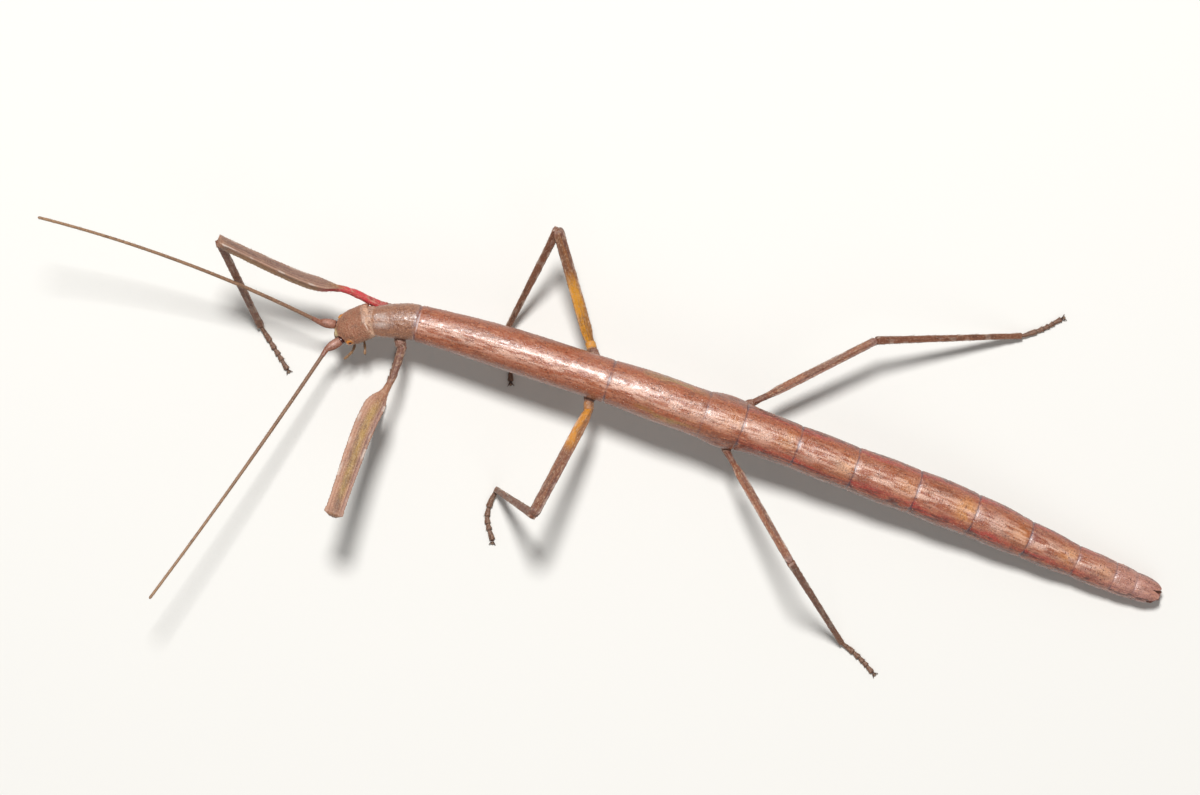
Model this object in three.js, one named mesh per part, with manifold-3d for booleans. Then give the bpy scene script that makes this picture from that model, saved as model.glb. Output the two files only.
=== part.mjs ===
// A wingless female stick insect at life size, standing on its six feet with the abdomen held just
// clear of the ground. Millimetres. The head faces -X, the back faces +Z, the ground is z = 0 and the
// animal's left side is towards -Y. Each part of the body that has a name is a solid of its own.
import * as THREE from 'three';
import { mergeVertices } from 'three/addons/utils/BufferGeometryUtils.js';
import Module from 'manifold-3d';

const wasm = await Module();
wasm.setup();

const gap = 0.06; // clear cut between two neighbouring pieces
const standingMiddle = { x: 1.11, y: -5.28 }; // middle of the finished animal in the drawing's frame

// Trunk, front to back. Each row ends one segment: where the middle of the body is there, its half
// width and half height, and how much the segment swells between its two ends.
const neckEnd = { x: -24.35, y: -0.68, z: 7.25, halfWidth: 1.5, halfHeight: 1.32 };
const trunkSegments = [
  { name: 'prothorax', x: -19.9, y: 0.77, z: 7.6, halfWidth: 1.86, halfHeight: 1.58, swell: 0.05 },
  { name: 'mesothorax', x: 0.3, y: 1.86, z: 8.5, halfWidth: 2.25, halfHeight: 2.05, swell: 0.12 },
  { name: 'metathorax', x: 10.4, y: 2.0, z: 8.35, halfWidth: 2.38, halfHeight: 2.18, swell: 0.1 },
  { name: 'abdomen_1', x: 14.3, y: 2.13, z: 8.05, halfWidth: 2.32, halfHeight: 2.15, swell: 0.02 },
  { name: 'abdomen_2', x: 20.2, y: 2.1, z: 7.4, halfWidth: 2.26, halfHeight: 2.1, swell: 0.04 },
  { name: 'abdomen_3', x: 26.4, y: 1.98, z: 6.6, halfWidth: 2.29, halfHeight: 2.1, swell: 0.06 },
  { name: 'abdomen_4', x: 33.1, y: 1.92, z: 5.7, halfWidth: 2.33, halfHeight: 2.1, swell: 0.07 },
  { name: 'abdomen_5', x: 39.5, y: 1.72, z: 4.75, halfWidth: 2.27, halfHeight: 2.02, swell: 0.08 },
  { name: 'abdomen_6', x: 45.6, y: 1.28, z: 3.8, halfWidth: 2.0, halfHeight: 1.78, swell: 0.09 },
  { name: 'abdomen_7', x: 51.05, y: 0.9, z: 2.95, halfWidth: 1.7, halfHeight: 1.54, swell: 0.09 },
  { name: 'abdomen_8', x: 55.3, y: 0.7, z: 2.36, halfWidth: 1.63, halfHeight: 1.34, swell: 0.04 },
  { name: 'abdomen_9', x: 57.7, y: 0.62, z: 2.06, halfWidth: 1.48, halfHeight: 1.16, swell: 0.02 },
  { name: 'abdomen_10', x: 60.5, y: 0.6, z: 1.8, halfWidth: 1.12, halfHeight: 0.74, swell: 0.05 },
];
const trunkSides = 16;
const pinch = { depth: 0.05, reach: 0.3 }; // how far a segment draws in at its two ends
const lean = { front: 3, back: 16 }; // degrees that the back leans towards the right side
const bellyFlatness = 0.08; // share of the height that the underside lacks
const coxalFold = { station: 12.8, length: 2.2, around: 100, spread: 26, depth: 0.4 };

// Head, in its own frame: the neck is the origin and the face looks towards -X.
const headTurn = { yaw: 41.5, pitch: -8, roll: -18 };
const headRoot = { x: -24.48, y: -0.54, z: 7.2 };
const headSize = { start: 0.02, length: 4.04, halfWidth: 1.84, halfHeight: 1.34, droop: 0.36 };
const neck = { length: 1.7, inset: 0.5, halfWidth: 1.48, halfHeight: 1.2 };
const eye = { forward: 2.68, side: 1.42, up: 0.04, length: 0.84, height: 0.76, depth: 0.32 };
const socket = { forward: 3.6, side: 0.9, up: 0.08 };
const mouth = { back: 2.0, front: 4.22, drop: 1.02, slope: 0.24, halfWidth: 0.95, halfHeight: 0.64 };

// Palps, root to tip, as (forward, out to the side, up) from the neck. The right pair is tucked in.
const palpRadius = 0.19;
const palps = [
  { name: 'maxillary_palp_left', spread: -1,
    bones: [[2.5, 0.8, -1.25], [2.75, 1.35, -1.7], [3.2, 1.75, -1.9], [4.3, 2.15, -2.1]] },
  { name: 'maxillary_palp_right', spread: 0.55,
    bones: [[2.5, 1.5, -1.25], [2.8, 2.3, -1.9], [3.3, 2.5, -2.3], [4.3, 1.9, -2.5]] },
  { name: 'labial_palp_left', spread: -1,
    bones: [[1.75, 0.5, -1.2], [1.7, 1.2, -1.8], [1.85, 1.75, -2.1], [2.15, 2.45, -2.3]] },
  { name: 'labial_palp_right', spread: 0.6,
    bones: [[1.75, 0.8, -1.2], [1.8, 1.6, -1.9], [2.1, 2.1, -2.3], [2.6, 2.2, -2.7]] },
];

// Antennae: the scape's bearing, then the whip's own, which turns steadily along it.
const scape = { length: 1.65, halfWidth: 0.47, halfThick: 0.32 };
const pedicel = { length: 0.85, rootRadius: 0.33, tipRadius: 0.27 };
const whip = { length: 30, rootRadius: 0.26, tipRadius: 0.25, bones: 12 };
const antennae = [
  { name: 'left', side: -1, scapeBearing: -128, bearing: -103.5, turn: -3, rise: 9 },
  { name: 'right', side: 1, scapeBearing: 191, bearing: 173.5, turn: 12.4, rise: 18.5 },
];

// Legs. The thigh leaves the hip at a bearing and a rise, the shin falls from the knee to the ankle's
// height along its own bearing, and the foot lies on the ground along a third one.
const ankleHeight = 0.62;
const shinInset = 0.3; // how far below the knee's middle a shin starts
const legKinds = {
  fore: {
    station: -21.9,
    coxa: { rootRadius: 0.64, tipRadius: 0.52 },
    femur: { halfWidth: 1.04, halfDepth: 0.58, corners: 3, sides: 12, stalk: 0.245, hipRadius: 0.46,
      stalkRadius: 0.34 },
    tibia: { kneeRadius: 0.39, ankleRadius: 0.34 },
    tarsus: { length: 5.3, radius: 0.31 },
  },
  mid: {
    station: -1.3,
    coxa: { rootRadius: 0.6, tipRadius: 0.5 },
    femur: { halfWidth: 0.52, halfDepth: 0.5, corners: 4, sides: 8, stalk: 0.02, hipRadius: 0.47,
      stalkRadius: 0.47 },
    tibia: { kneeRadius: 0.43, ankleRadius: 0.28 },
    tarsus: { length: 5.2, radius: 0.33 },
  },
  hind: {
    station: 12.9,
    coxa: { rootRadius: 0.6, tipRadius: 0.4 },
    femur: { halfWidth: 0.39, halfDepth: 0.43, corners: 4, sides: 8, stalk: 0.1, hipRadius: 0.36,
      stalkRadius: 0.31 },
    tibia: { kneeRadius: 0.38, ankleRadius: 0.27 },
    tarsus: { length: 4.5, radius: 0.31 },
  },
};
const legs = [
  { name: 'fore_left', kind: 'fore', side: -1, hip: { x: -20.55, y: -2.0, z: 6.78 },
    femur: 19.6, tibia: 18, thigh: -91.5, rise: 21.2, twist: 0, shin: 88.8, foot: 92.4, curl: 0 },
  { name: 'fore_right', kind: 'fore', side: 1, hip: { x: -24.22, y: 1.12, z: 6.13 },
    femur: 19.6, tibia: 18, thigh: 178.4, rise: 31.6, twist: 64, shin: -49, foot: -38.7, curl: 0 },
  { name: 'mid_left', kind: 'mid', side: -1, hip: { x: -0.61, y: -1.57, z: 7.9 },
    femur: 13.5, tibia: 14.4, thigh: -98.1, rise: 28.3, twist: 0, shin: 169.5, foot: -74.8, curl: -0.75 },
  { name: 'mid_right', kind: 'mid', side: 1, hip: { x: -2.84, y: 4.85, z: 5.9 },
    femur: 13, tibia: 15.6, thigh: 125.8, rise: 23.7, twist: 0, shin: -97.8, foot: -65, curl: 0.2 },
  { name: 'hind_left', kind: 'hind', side: -1, hip: { x: 13.94, y: -0.79, z: 7.7 },
    femur: 14.1, tibia: 16.8, thigh: -40.5, rise: 26.2, twist: 0, shin: -36.6, foot: -24, curl: 0.15 },
  { name: 'hind_right', kind: 'hind', side: 1, hip: { x: 14.76, y: 4.78, z: 6.2 },
    femur: 14.1, tibia: 16.8, thigh: 47, rise: 6.4, twist: 0, shin: 21.9, foot: 43, curl: -0.2 },
];
const coxaRoot = { across: 0.55, down: 0.62 }; // where a coxa starts, as shares of the trunk's half sizes
const thighBow = { outAt: 0.2, out: 0.24, inAt: 0.42, in: 0.42 }; // fore thigh's bend, share and mm
const tarsomereEnds = [0.36, 0.53, 0.67, 0.79, 1];

// Rear end: a notched last segment, a keel plate under it, and two short cerci between them. The
// plate's edge and hidden roof lie below the trunk's middle by shares of its half height.
const analLobe = { length: 1.1, side: 0.6, halfWidth: 0.66, steps: 14 };
const operculum = { front: 51.9, back: 60.75, halfWidthShare: 0.88, thickness: 0.34, edge: 0.35, roof: 0.6 };
const analHollow = { start: 59.75, drop: 0.22, halfWidth: 0.74, halfHeight: 0.36 };
const cercus = { start: 59.95, end: 60.8, side: 0.36, drop: 0.22, radius: 0.25 };

// --- materials ---
const finish = (color, roughness) => new THREE.MeshStandardMaterial({ color, roughness, metalness: 0 });
const cuticle = finish(0x8e5140, 0.45);
const headBrown = finish(0x7b5544, 0.7);
const legBrown = finish(0x80574a, 0.6);
const feelerTan = finish(0x86664c, 0.65);
const eyeAmber = finish(0xb06a22, 0.2);
const mouthTan = finish(0x96763f, 0.5);

// --- small tools ---
const rad = THREE.MathUtils.degToRad;
const mix = THREE.MathUtils.lerp;
const clamp = THREE.MathUtils.clamp;
const smooth = THREE.MathUtils.smoothstep;
const skyward = new THREE.Vector3(0, 0, 1);

// Unit vector that points along a bearing round +Z and a rise above the level.
function pointing(bearing, rise) {
  const level = new THREE.Vector3(Math.cos(rad(bearing)), Math.sin(rad(bearing)), 0);
  return level.multiplyScalar(Math.cos(rad(rise))).setZ(Math.sin(rad(rise)));
}

// Smooth value at x through knots [x, value], with each knot's slope taken across its neighbours.
function through(knots, x) {
  const last = knots.length - 1;
  let i = 0;
  while (i < last - 1 && x > knots[i + 1][0]) i += 1;
  const slope = (k) => {
    const a = knots[Math.max(k - 1, 0)];
    const b = knots[Math.min(k + 1, last)];
    return (b[1] - a[1]) / (b[0] - a[0]);
  };
  const span = knots[i + 1][0] - knots[i][0];
  const t = (x - knots[i][0]) / span;
  const straight = mix(knots[i][1], knots[i + 1][1], t * t * (3 - 2 * t));
  return straight + span * t * (1 - t) * ((1 - t) * slope(i) - t * slope(i + 1));
}

// Axes at a point of a path: forward, side, and up as near as can be to the given up.
function axesAt(forward, up) {
  const f = forward.clone().normalize();
  const s = up.clone().cross(f).normalize();
  return { s, u: f.clone().cross(s) };
}

// A closed body warped from a cylinder: each corner goes where place(t, angle, share) says, with t
// from 0 to 1 along it, the angle round it, and the share of its radius (0 in the middle of a cap).
function loft(sides, rings, place) {
  const geometry = new THREE.CylinderGeometry(1, 1, 1, sides, rings);
  const position = geometry.attributes.position;
  for (let i = 0; i < position.count; i += 1) {
    const x = position.getX(i);
    const z = position.getZ(i);
    const p = place(0.5 - position.getY(i), Math.atan2(x, z), Math.min(1, Math.hypot(x, z)));
    position.setXYZ(i, p.x, p.y, p.z);
  }
  return geometry;
}

// A limb along a curve with a domed end at each side. section(t, angle) gives its half width along
// the side axis and half depth along the up axis. Two rings at each end make the dome.
function limb(curve, up, sides, rings, section, grow = 0) {
  const length = curve.getLength();
  const domeAt = (t) => (Math.max(section(t, 0).across, section(t, 0).deep) * 0.8 + grow) / length;
  const domes = { front: Math.min(0.3, domeAt(0)), back: Math.min(0.3, domeAt(1)) };
  const stationOf = (ring) => {
    if (ring < 1.5) return ring < 0.5 ? 0 : 0.29 * domes.front;
    if (ring > rings - 1.5) return ring > rings - 0.5 ? 1 : 1 - 0.29 * domes.back;
    return mix(domes.front, 1 - domes.back, (ring - 2) / (rings - 4));
  };
  const domeOf = (ring) => {
    const fromEnd = Math.min(ring, rings - ring);
    return fromEnd < 0.5 ? 0.4 : fromEnd < 1.5 ? 0.75 : 1;
  };
  const geometry = loft(sides, rings, (share, angle, radial) => {
    const ring = share * rings;
    const t = stationOf(ring);
    const { s, u } = axesAt(curve.getTangentAt(t), up);
    const { across, deep } = section(t, angle);
    const dome = domeOf(ring) * radial;
    const overhang = t === 0 ? -grow : t === 1 ? grow : 0;
    return curve
      .getPointAt(t)
      .addScaledVector(curve.getTangentAt(t), overhang)
      .addScaledVector(s, (across + grow) * dome * Math.sin(angle))
      .addScaledVector(u, (deep + grow) * dome * Math.cos(angle));
  });
  return solidOf(geometry);
}

const straight = (start, end) => new THREE.LineCurve3(start, end);
const bent = (points) => new THREE.CatmullRomCurve3(points, false, 'centripetal');
const round = (radius) => ({ across: radius, deep: radius });
const tapered = ({ rootRadius, tipRadius }) => (t) => round(mix(rootRadius, tipRadius, t));

function solidOf(geometry) {
  geometry.deleteAttribute('normal');
  geometry.deleteAttribute('uv');
  const merged = mergeVertices(geometry, 1e-4);
  return new wasm.Manifold(
    new wasm.Mesh({
      numProp: 3,
      vertProperties: merged.attributes.position.array,
      triVerts: new Uint32Array(merged.index.array),
    }),
  );
}

function geometryOf(solid) {
  const { vertProperties, numVert, triVerts } = solid.getMesh();
  const geometry = new THREE.BufferGeometry();
  geometry.setAttribute('position', new THREE.BufferAttribute(vertProperties.slice(0, numVert * 3), 3));
  geometry.setIndex(new THREE.BufferAttribute(triVerts, 1));
  geometry.computeVertexNormals();
  return geometry;
}

function addPiece(group, name, solid, material) {
  const piece = new THREE.Mesh(geometryOf(solid), material);
  piece.name = name;
  group.add(piece);
}

const insect = new THREE.Group();
const headGroup = new THREE.Group();
const legGroup = new THREE.Group();
insect.add(headGroup, legGroup);
insect.position.set(-standingMiddle.x, -standingMiddle.y, 0);

// --- trunk ---
const borders = [neckEnd, ...trunkSegments];
const trunkStart = neckEnd.x;
const trunkEnd = borders[borders.length - 1].x;
const knotsOf = (key) => borders.map((border) => [border.x, border[key]]);
const knots = {
  y: knotsOf('y'),
  z: knotsOf('z'),
  halfWidth: knotsOf('halfWidth'),
  halfHeight: knotsOf('halfHeight'),
};

const trunkMiddle = (x) => new THREE.Vector3(x, through(knots.y, x), through(knots.z, x));

function trunkAxes(x) {
  const step = 0.05;
  const forward = trunkMiddle(x + step).sub(trunkMiddle(x - step));
  const share = clamp((x - trunkStart) / (trunkEnd - trunkStart), 0, 1);
  const level = axesAt(forward, skyward);
  const tilt = rad(mix(lean.front, lean.back, share));
  const up = level.u.multiplyScalar(Math.cos(tilt)).addScaledVector(level.s, Math.sin(tilt));
  return axesAt(forward, up);
}

// How much the segment that holds x swells there, less how much it draws in near its ends.
function swellAt(x) {
  let i = 0;
  while (i < trunkSegments.length - 1 && x > trunkSegments[i].x) i += 1;
  const share = clamp((x - borders[i].x) / (borders[i + 1].x - borders[i].x), 0, 1);
  const toBorder = Math.min(Math.abs(x - borders[i].x), Math.abs(borders[i + 1].x - x));
  const drawn = pinch.depth * Math.exp(-((toBorder / pinch.reach) ** 2));
  return trunkSegments[i].swell * Math.sin(Math.PI * share) ** 2 - drawn;
}

// Point of the trunk's surface at a station x and an angle round from the back, positive to the
// right. The hind coxae stand in a fold of the flanks. grow moves the point outwards.
function trunkSurface(x, angle, grow) {
  const { s, u } = trunkAxes(x);
  const aside = Math.abs(angle) - rad(coxalFold.around);
  const along = (x - coxalFold.station) / coxalFold.length;
  const fold = coxalFold.depth * Math.exp(-(along ** 2) - (aside / rad(coxalFold.spread)) ** 2);
  const flat = 1 - bellyFlatness * Math.max(0, -Math.cos(angle)) ** 3;
  const across = through(knots.halfWidth, x) + swellAt(x) + fold + grow;
  const deep = (through(knots.halfHeight, x) + swellAt(x)) * flat + grow;
  return trunkMiddle(x)
    .addScaledVector(s, across * Math.sin(angle))
    .addScaledVector(u, deep * Math.cos(angle));
}

// Length of the trunk between two stations. The rings crowd towards its two ends.
function trunkLength(from, to, rings, grow = 0) {
  const geometry = loft(trunkSides, rings, (t, angle, share) => {
    const x = mix(from, to, mix(t, (1 - Math.cos(Math.PI * t)) / 2, 0.8));
    return trunkMiddle(x).lerp(trunkSurface(x, angle, grow), share);
  });
  return solidOf(geometry);
}

const segmentSolids = new Map();
trunkSegments.forEach((segment, i) => {
  const rings = clamp(Math.round((segment.x - borders[i].x) * 0.6), 3, 7);
  segmentSolids.set(segment.name, trunkLength(borders[i].x + gap / 2, segment.x - gap / 2, rings));
});
const trunkGrown = borders
  .slice(1)
  .map((border, i) => trunkLength(borders[i].x - gap, border.x + gap, 4, gap))
  .reduce((whole, length) => whole.add(length));

const collarGrown = trunkLength(trunkStart - gap, trunkStart + 2, 3, gap);

// The last segment is cut from behind, so that it ends in two rounded lobes, and hollow between them.
const lobeEdge = Array.from({ length: analLobe.steps + 1 }, (_, k) => {
  const y = mix(-2, 2, k / analLobe.steps);
  const aside = clamp((Math.abs(y) - analLobe.side) / analLobe.halfWidth, -1, 1);
  return new THREE.Vector2(-analLobe.length * (1 - Math.sqrt(1 - aside ** 2)), y);
});
const notchOutline = new THREE.Shape([...lobeEdge, new THREE.Vector2(2, 2), new THREE.Vector2(2, -2)]);
const notch = new THREE.ExtrudeGeometry(notchOutline, { depth: 6, bevelEnabled: false });
const tailEnd = borders[borders.length - 1];
notch.translate(tailEnd.x, tailEnd.y, tailEnd.z - 3);
const inTail = (x, aside, below) => {
  const { s, u } = trunkAxes(x);
  return trunkMiddle(x).addScaledVector(s, aside).addScaledVector(u, -below);
};
const hollowSection = () => ({ across: analHollow.halfWidth, deep: analHollow.halfHeight });
const hollowEnds = [analHollow.start, tailEnd.x + 1].map((x) => inTail(x, 0, analHollow.drop));
const hollow = limb(straight(...hollowEnds), skyward, 8, 5, hollowSection);
const lastSegment = segmentSolids.get('abdomen_10').subtract(solidOf(notch)).subtract(hollow);
segmentSolids.set('abdomen_10', lastSegment);
for (const [name, solid] of segmentSolids) addPiece(insect, name, solid, cuticle);

// Keel plate under the last segments: a boat whose bottom stays a plate's thickness below the belly.
function keelPlace(t, angle, share) {
  const x = mix(operculum.front, operculum.back, t);
  const { s, u } = trunkAxes(x);
  const blunt = clamp(Math.sin(Math.PI * mix(0.12, 0.86, t)) ** 0.5, 0, 1);
  const across = through(knots.halfWidth, Math.min(x, trunkEnd)) * operculum.halfWidthShare * blunt;
  const deep = through(knots.halfHeight, Math.min(x, trunkEnd)) * (1 - bellyFlatness);
  const drop = (deep + operculum.thickness) * mix(0.9, 1, blunt);
  const edge = -operculum.edge * deep;
  const up = edge + (drop + edge) * Math.min(0, Math.cos(angle));
  return trunkMiddle(x)
    .addScaledVector(s, across * Math.sin(angle) * share)
    .addScaledVector(u, mix(-operculum.roof * deep, up, share));
}
let keel = solidOf(loft(12, 6, keelPlace)).subtract(trunkGrown);
for (const side of [-1, 1]) {
  const ends = [cercus.start, cercus.end].map((x) => inTail(x, side * cercus.side, cercus.drop));
  const solid = (grow) => limb(straight(...ends), skyward, 7, 5, () => round(cercus.radius), grow);
  keel = keel.subtract(solid(gap));
  addPiece(insect, side < 0 ? 'cercus_left' : 'cercus_right', solid(0), cuticle);
}
addPiece(insect, 'operculum', keel, cuticle);

// --- head ---
headGroup.position.set(headRoot.x, headRoot.y, headRoot.z);
headGroup.rotation.set(rad(headTurn.roll), rad(headTurn.pitch), rad(headTurn.yaw), 'ZYX');
headGroup.updateMatrix();
const intoHead = headGroup.matrix.clone().invert();
const fromNeck = (forward, side, up) => new THREE.Vector3(-forward, side, up);
const headToInsect = (point) => point.applyMatrix4(headGroup.matrix);
const inHeadFrame = (solid) => solid.transform(intoHead.elements);

// Capsule, blunt behind, whose sides narrow to the face while the top slopes down more slowly.
function capsulePlace(grow) {
  return (t, angle, share) => {
    const along = (1 - Math.cos(Math.PI * t)) / 2;
    const behind = 0.86 + 0.14 * Math.sqrt(1 - (1 - clamp(along / 0.24, 0, 1)) ** 2);
    const before = Math.sqrt(1 - clamp((along - 0.45) / 0.55, 0, 0.995) ** 3);
    const narrowed = (1 - clamp((along - 0.38) / 0.62, 0, 0.995) ** 2.3) ** 0.85;
    const across = share * (headSize.halfWidth * behind * narrowed + grow);
    const deep = share * (headSize.halfHeight * (1 - 0.12 * along) * behind * before + grow);
    const forward = headSize.start + headSize.length * along + grow * Math.sign(t - 0.5) * (1 - before);
    const up = deep * Math.cos(angle) - headSize.droop * along ** 2;
    return fromNeck(forward, -across * Math.sin(angle), up);
  };
}

function eyeball(side, grow) {
  const shape = new THREE.SphereGeometry(1, 10, 7);
  shape.scale(eye.length / 2 + grow, eye.depth + grow, eye.height / 2 + grow);
  const centre = fromNeck(eye.forward, side * eye.side, eye.up);
  return solidOf(shape.translate(centre.x, centre.y, centre.z));
}

// Lip and jaws together: one blunt wedge under the front of the capsule.
function mouthWedge(grow) {
  const start = fromNeck(mouth.back, 0, -mouth.drop);
  const end = fromNeck(mouth.front, 0, -mouth.drop - mouth.slope);
  const section = (t) => ({
    across: mouth.halfWidth * mix(1, 0.8, t),
    deep: mouth.halfHeight * mix(1, 0.85, t),
  });
  return limb(straight(start, end), skyward, 10, 6, section, grow);
}

function neckTube() {
  const forward = pointing(180 + headTurn.yaw * 0.6, 0);
  const root = new THREE.Vector3(neckEnd.x, neckEnd.y, neckEnd.z).addScaledVector(forward, -neck.inset);
  const tip = root.clone().addScaledVector(forward, neck.length);
  const section = () => ({ across: neck.halfWidth, deep: neck.halfHeight });
  return limb(straight(root, tip), skyward, 12, 5, section);
}

// Antennae: a flat oval first joint, a short round second one, and a long whip that curves evenly.
const scapeHoles = [];
for (const { name, side, scapeBearing, bearing, turn, rise } of antennae) {
  const root = headToInsect(fromNeck(socket.forward, side * socket.side, socket.up));
  const heading = pointing(scapeBearing, rise);
  const knuckle = root.clone().addScaledVector(heading, scape.length);
  const oval = (t) => {
    const full = Math.sin(Math.PI * mix(0.28, 0.8, t));
    return { across: scape.halfWidth * full, deep: scape.halfThick * full ** 0.6 };
  };
  const joint = (grow) => limb(straight(root, knuckle), skyward, 8, 7, oval, grow);
  addPiece(insect, `antenna_${name}_scape`, joint(0), headBrown);
  scapeHoles.push(joint(gap));
  const onward = pointing(bearing, rise);
  const after = (distance) => knuckle.clone().addScaledVector(onward, distance);
  const ring = straight(after(gap), after(gap + pedicel.length));
  addPiece(insect, `antenna_${name}_pedicel`, limb(ring, skyward, 8, 5, tapered(pedicel)), headBrown);
  const points = [after(gap + pedicel.length + gap)];
  for (let k = 0; k < whip.bones; k += 1) {
    const step = pointing(bearing + (turn * (k + 0.5)) / whip.bones, rise);
    points.push(points[k].clone().addScaledVector(step, whip.length / whip.bones));
  }
  addPiece(insect, `antenna_${name}_flagellum`, limb(bent(points), skyward, 6, 15, tapered(whip)), feelerTan);
}

const capsuleGrown = solidOf(loft(18, 10, capsulePlace(gap)));
let capsule = solidOf(loft(18, 10, capsulePlace(0)));
const holes = [...scapeHoles, collarGrown].map(inHeadFrame);
for (const hole of [eyeball(-1, gap), eyeball(1, gap), ...holes]) capsule = capsule.subtract(hole);
const mouthSolid = scapeHoles.reduce(
  (solid, hole) => solid.subtract(inHeadFrame(hole)),
  mouthWedge(0).subtract(capsuleGrown),
);
addPiece(headGroup, 'head', capsule, headBrown);
addPiece(headGroup, 'eye_left', eyeball(-1, 0), eyeAmber);
addPiece(headGroup, 'eye_right', eyeball(1, 0), eyeAmber);
addPiece(headGroup, 'mouthparts', mouthSolid, mouthTan);
const capsuleInPlace = capsuleGrown.transform(headGroup.matrix.elements);
addPiece(insect, 'neck', neckTube().subtract(collarGrown).subtract(capsuleInPlace), headBrown);

for (const { name, spread, bones } of palps) {
  const points = bones.map(([forward, side, up]) => fromNeck(forward, side * spread, up));
  const swell = (t) => Math.abs(Math.sin(Math.PI * t * (bones.length - 1)));
  const palp = limb(bent(points), skyward, 6, 8, (t) => round(palpRadius * (0.86 + 0.14 * swell(t))));
  addPiece(headGroup, name, palp.subtract(capsuleGrown).subtract(mouthWedge(gap)), mouthTan);
}

// --- legs ---
// Outline of a section with rounded corners: 1 at a corner and less between two of them.
function cornered(angle, corners, roundness) {
  const step = (2 * Math.PI) / corners;
  const fromCorner = (((angle - step / 2) % step) + step) % step;
  const flat = Math.cos(step / 2) / Math.cos(fromCorner - step / 2);
  return mix(flat, 1, roundness);
}

// Thigh: a round stalk that widens into a blade and narrows a little to the knee.
function thighSection({ halfWidth, halfDepth, stalk, hipRadius, stalkRadius, corners }) {
  const cornerSide = Math.sin(Math.PI / corners);
  return (t, angle) => {
    const blade = smooth(t, stalk, stalk + 0.14) * (1 - 0.24 * smooth(t, 0.4, 1));
    const shape = cornered(angle, corners, 0.35);
    const rod = mix(hipRadius, stalkRadius, smooth(t, 0, stalk));
    const across = mix(rod, (halfWidth / cornerSide) * shape, blade);
    const deep = mix(rod, (halfDepth / cornerSide) * shape, blade);
    return { across, deep };
  };
}

// Shin: square with rounded edges, thinner towards the ankle and a little flared at its two ends.
const shinSection = ({ kneeRadius, ankleRadius }) => (t, angle) => {
  const flare = 1 + 0.12 * smooth(Math.abs(t - 0.5), 0.4, 0.5);
  const size = mix(kneeRadius, ankleRadius, t) * flare * 1.2 * cornered(angle, 4, 0.5);
  return { across: size, deep: size };
};

// Foot: five joints, each widest at its far end.
const footSection = ({ radius }) => (t) => {
  const joint = tarsomereEnds.findIndex((end) => t <= end + 1e-6);
  const start = joint > 0 ? tarsomereEnds[joint - 1] : 0;
  const share = (t - start) / (tarsomereEnds[joint] - start);
  const width = radius * (0.74 + 0.26 * share ** 1.5);
  return { across: width, deep: width * 0.9 };
};

const groundBlock = solidOf(new THREE.BoxGeometry(200, 200, 10).translate(0, 0, -5));
for (const leg of legs) {
  const kind = legKinds[leg.kind];
  const hip = new THREE.Vector3(leg.hip.x, leg.hip.y, leg.hip.z);
  const thighWay = pointing(leg.thigh, leg.rise);
  const knee = hip.clone().addScaledVector(thighWay, leg.femur);
  const fall = (Math.asin((knee.z - ankleHeight) / leg.tibia) * 180) / Math.PI;
  const ankle = knee.clone().addScaledVector(pointing(leg.shin, -fall), leg.tibia);

  const { s, u } = trunkAxes(kind.station);
  const root = trunkMiddle(kind.station)
    .addScaledVector(s, leg.side * coxaRoot.across * through(knots.halfWidth, kind.station))
    .addScaledVector(u, -coxaRoot.down * through(knots.halfHeight, kind.station));
  const coxa = (grow) => limb(straight(root, hip), skyward, 8, 6, tapered(kind.coxa), grow);

  const aside = new THREE.Vector3(-thighWay.y, thighWay.x, 0).normalize().multiplyScalar(leg.side);
  const along = (share) => hip.clone().lerp(knee, share);
  const bow = kind.femur.corners === 3 ? 1 : 0;
  const thighPath = bent([
    hip,
    along(thighBow.outAt).addScaledVector(aside, -thighBow.out * bow),
    along(thighBow.inAt).addScaledVector(aside, thighBow.in * bow),
    knee,
  ]);
  const thighUp = skyward.clone().applyAxisAngle(thighWay, rad(leg.twist * leg.side));
  const femur = (grow) => limb(thighPath, thighUp, kind.femur.sides, 9, thighSection(kind.femur), grow);
  const shinRoot = knee.clone().lerp(ankle, shinInset / leg.tibia);
  const tibia = (grow) => limb(straight(shinRoot, ankle), skyward, 8, 6, shinSection(kind.tibia), grow);

  const toeWay = pointing(leg.foot, 0);
  const toeSide = new THREE.Vector3(-toeWay.y, toeWay.x, 0);
  const toePoint = (share, height) =>
    new THREE.Vector3(ankle.x, ankle.y, height)
      .addScaledVector(toeWay, kind.tarsus.length * share)
      .addScaledVector(toeSide, leg.curl * Math.sin(Math.PI * share));
  const low = kind.tarsus.radius * 0.68;
  const tarsusPath = bent([ankle, toePoint(0.3, low + 0.1), toePoint(0.6, low), toePoint(1, low)]);
  const tarsus = limb(tarsusPath, skyward, 7, 12, footSection(kind.tarsus));

  addPiece(legGroup, `${leg.name}_coxa`, coxa(0).subtract(trunkGrown), legBrown);
  addPiece(legGroup, `${leg.name}_femur`, femur(0).subtract(coxa(gap)).subtract(trunkGrown), legBrown);
  addPiece(legGroup, `${leg.name}_tibia`, tibia(0).subtract(femur(gap)), legBrown);
  addPiece(legGroup, `${leg.name}_tarsus`, tarsus.subtract(tibia(gap)).subtract(groundBlock), legBrown);
}

export default insect;
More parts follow.
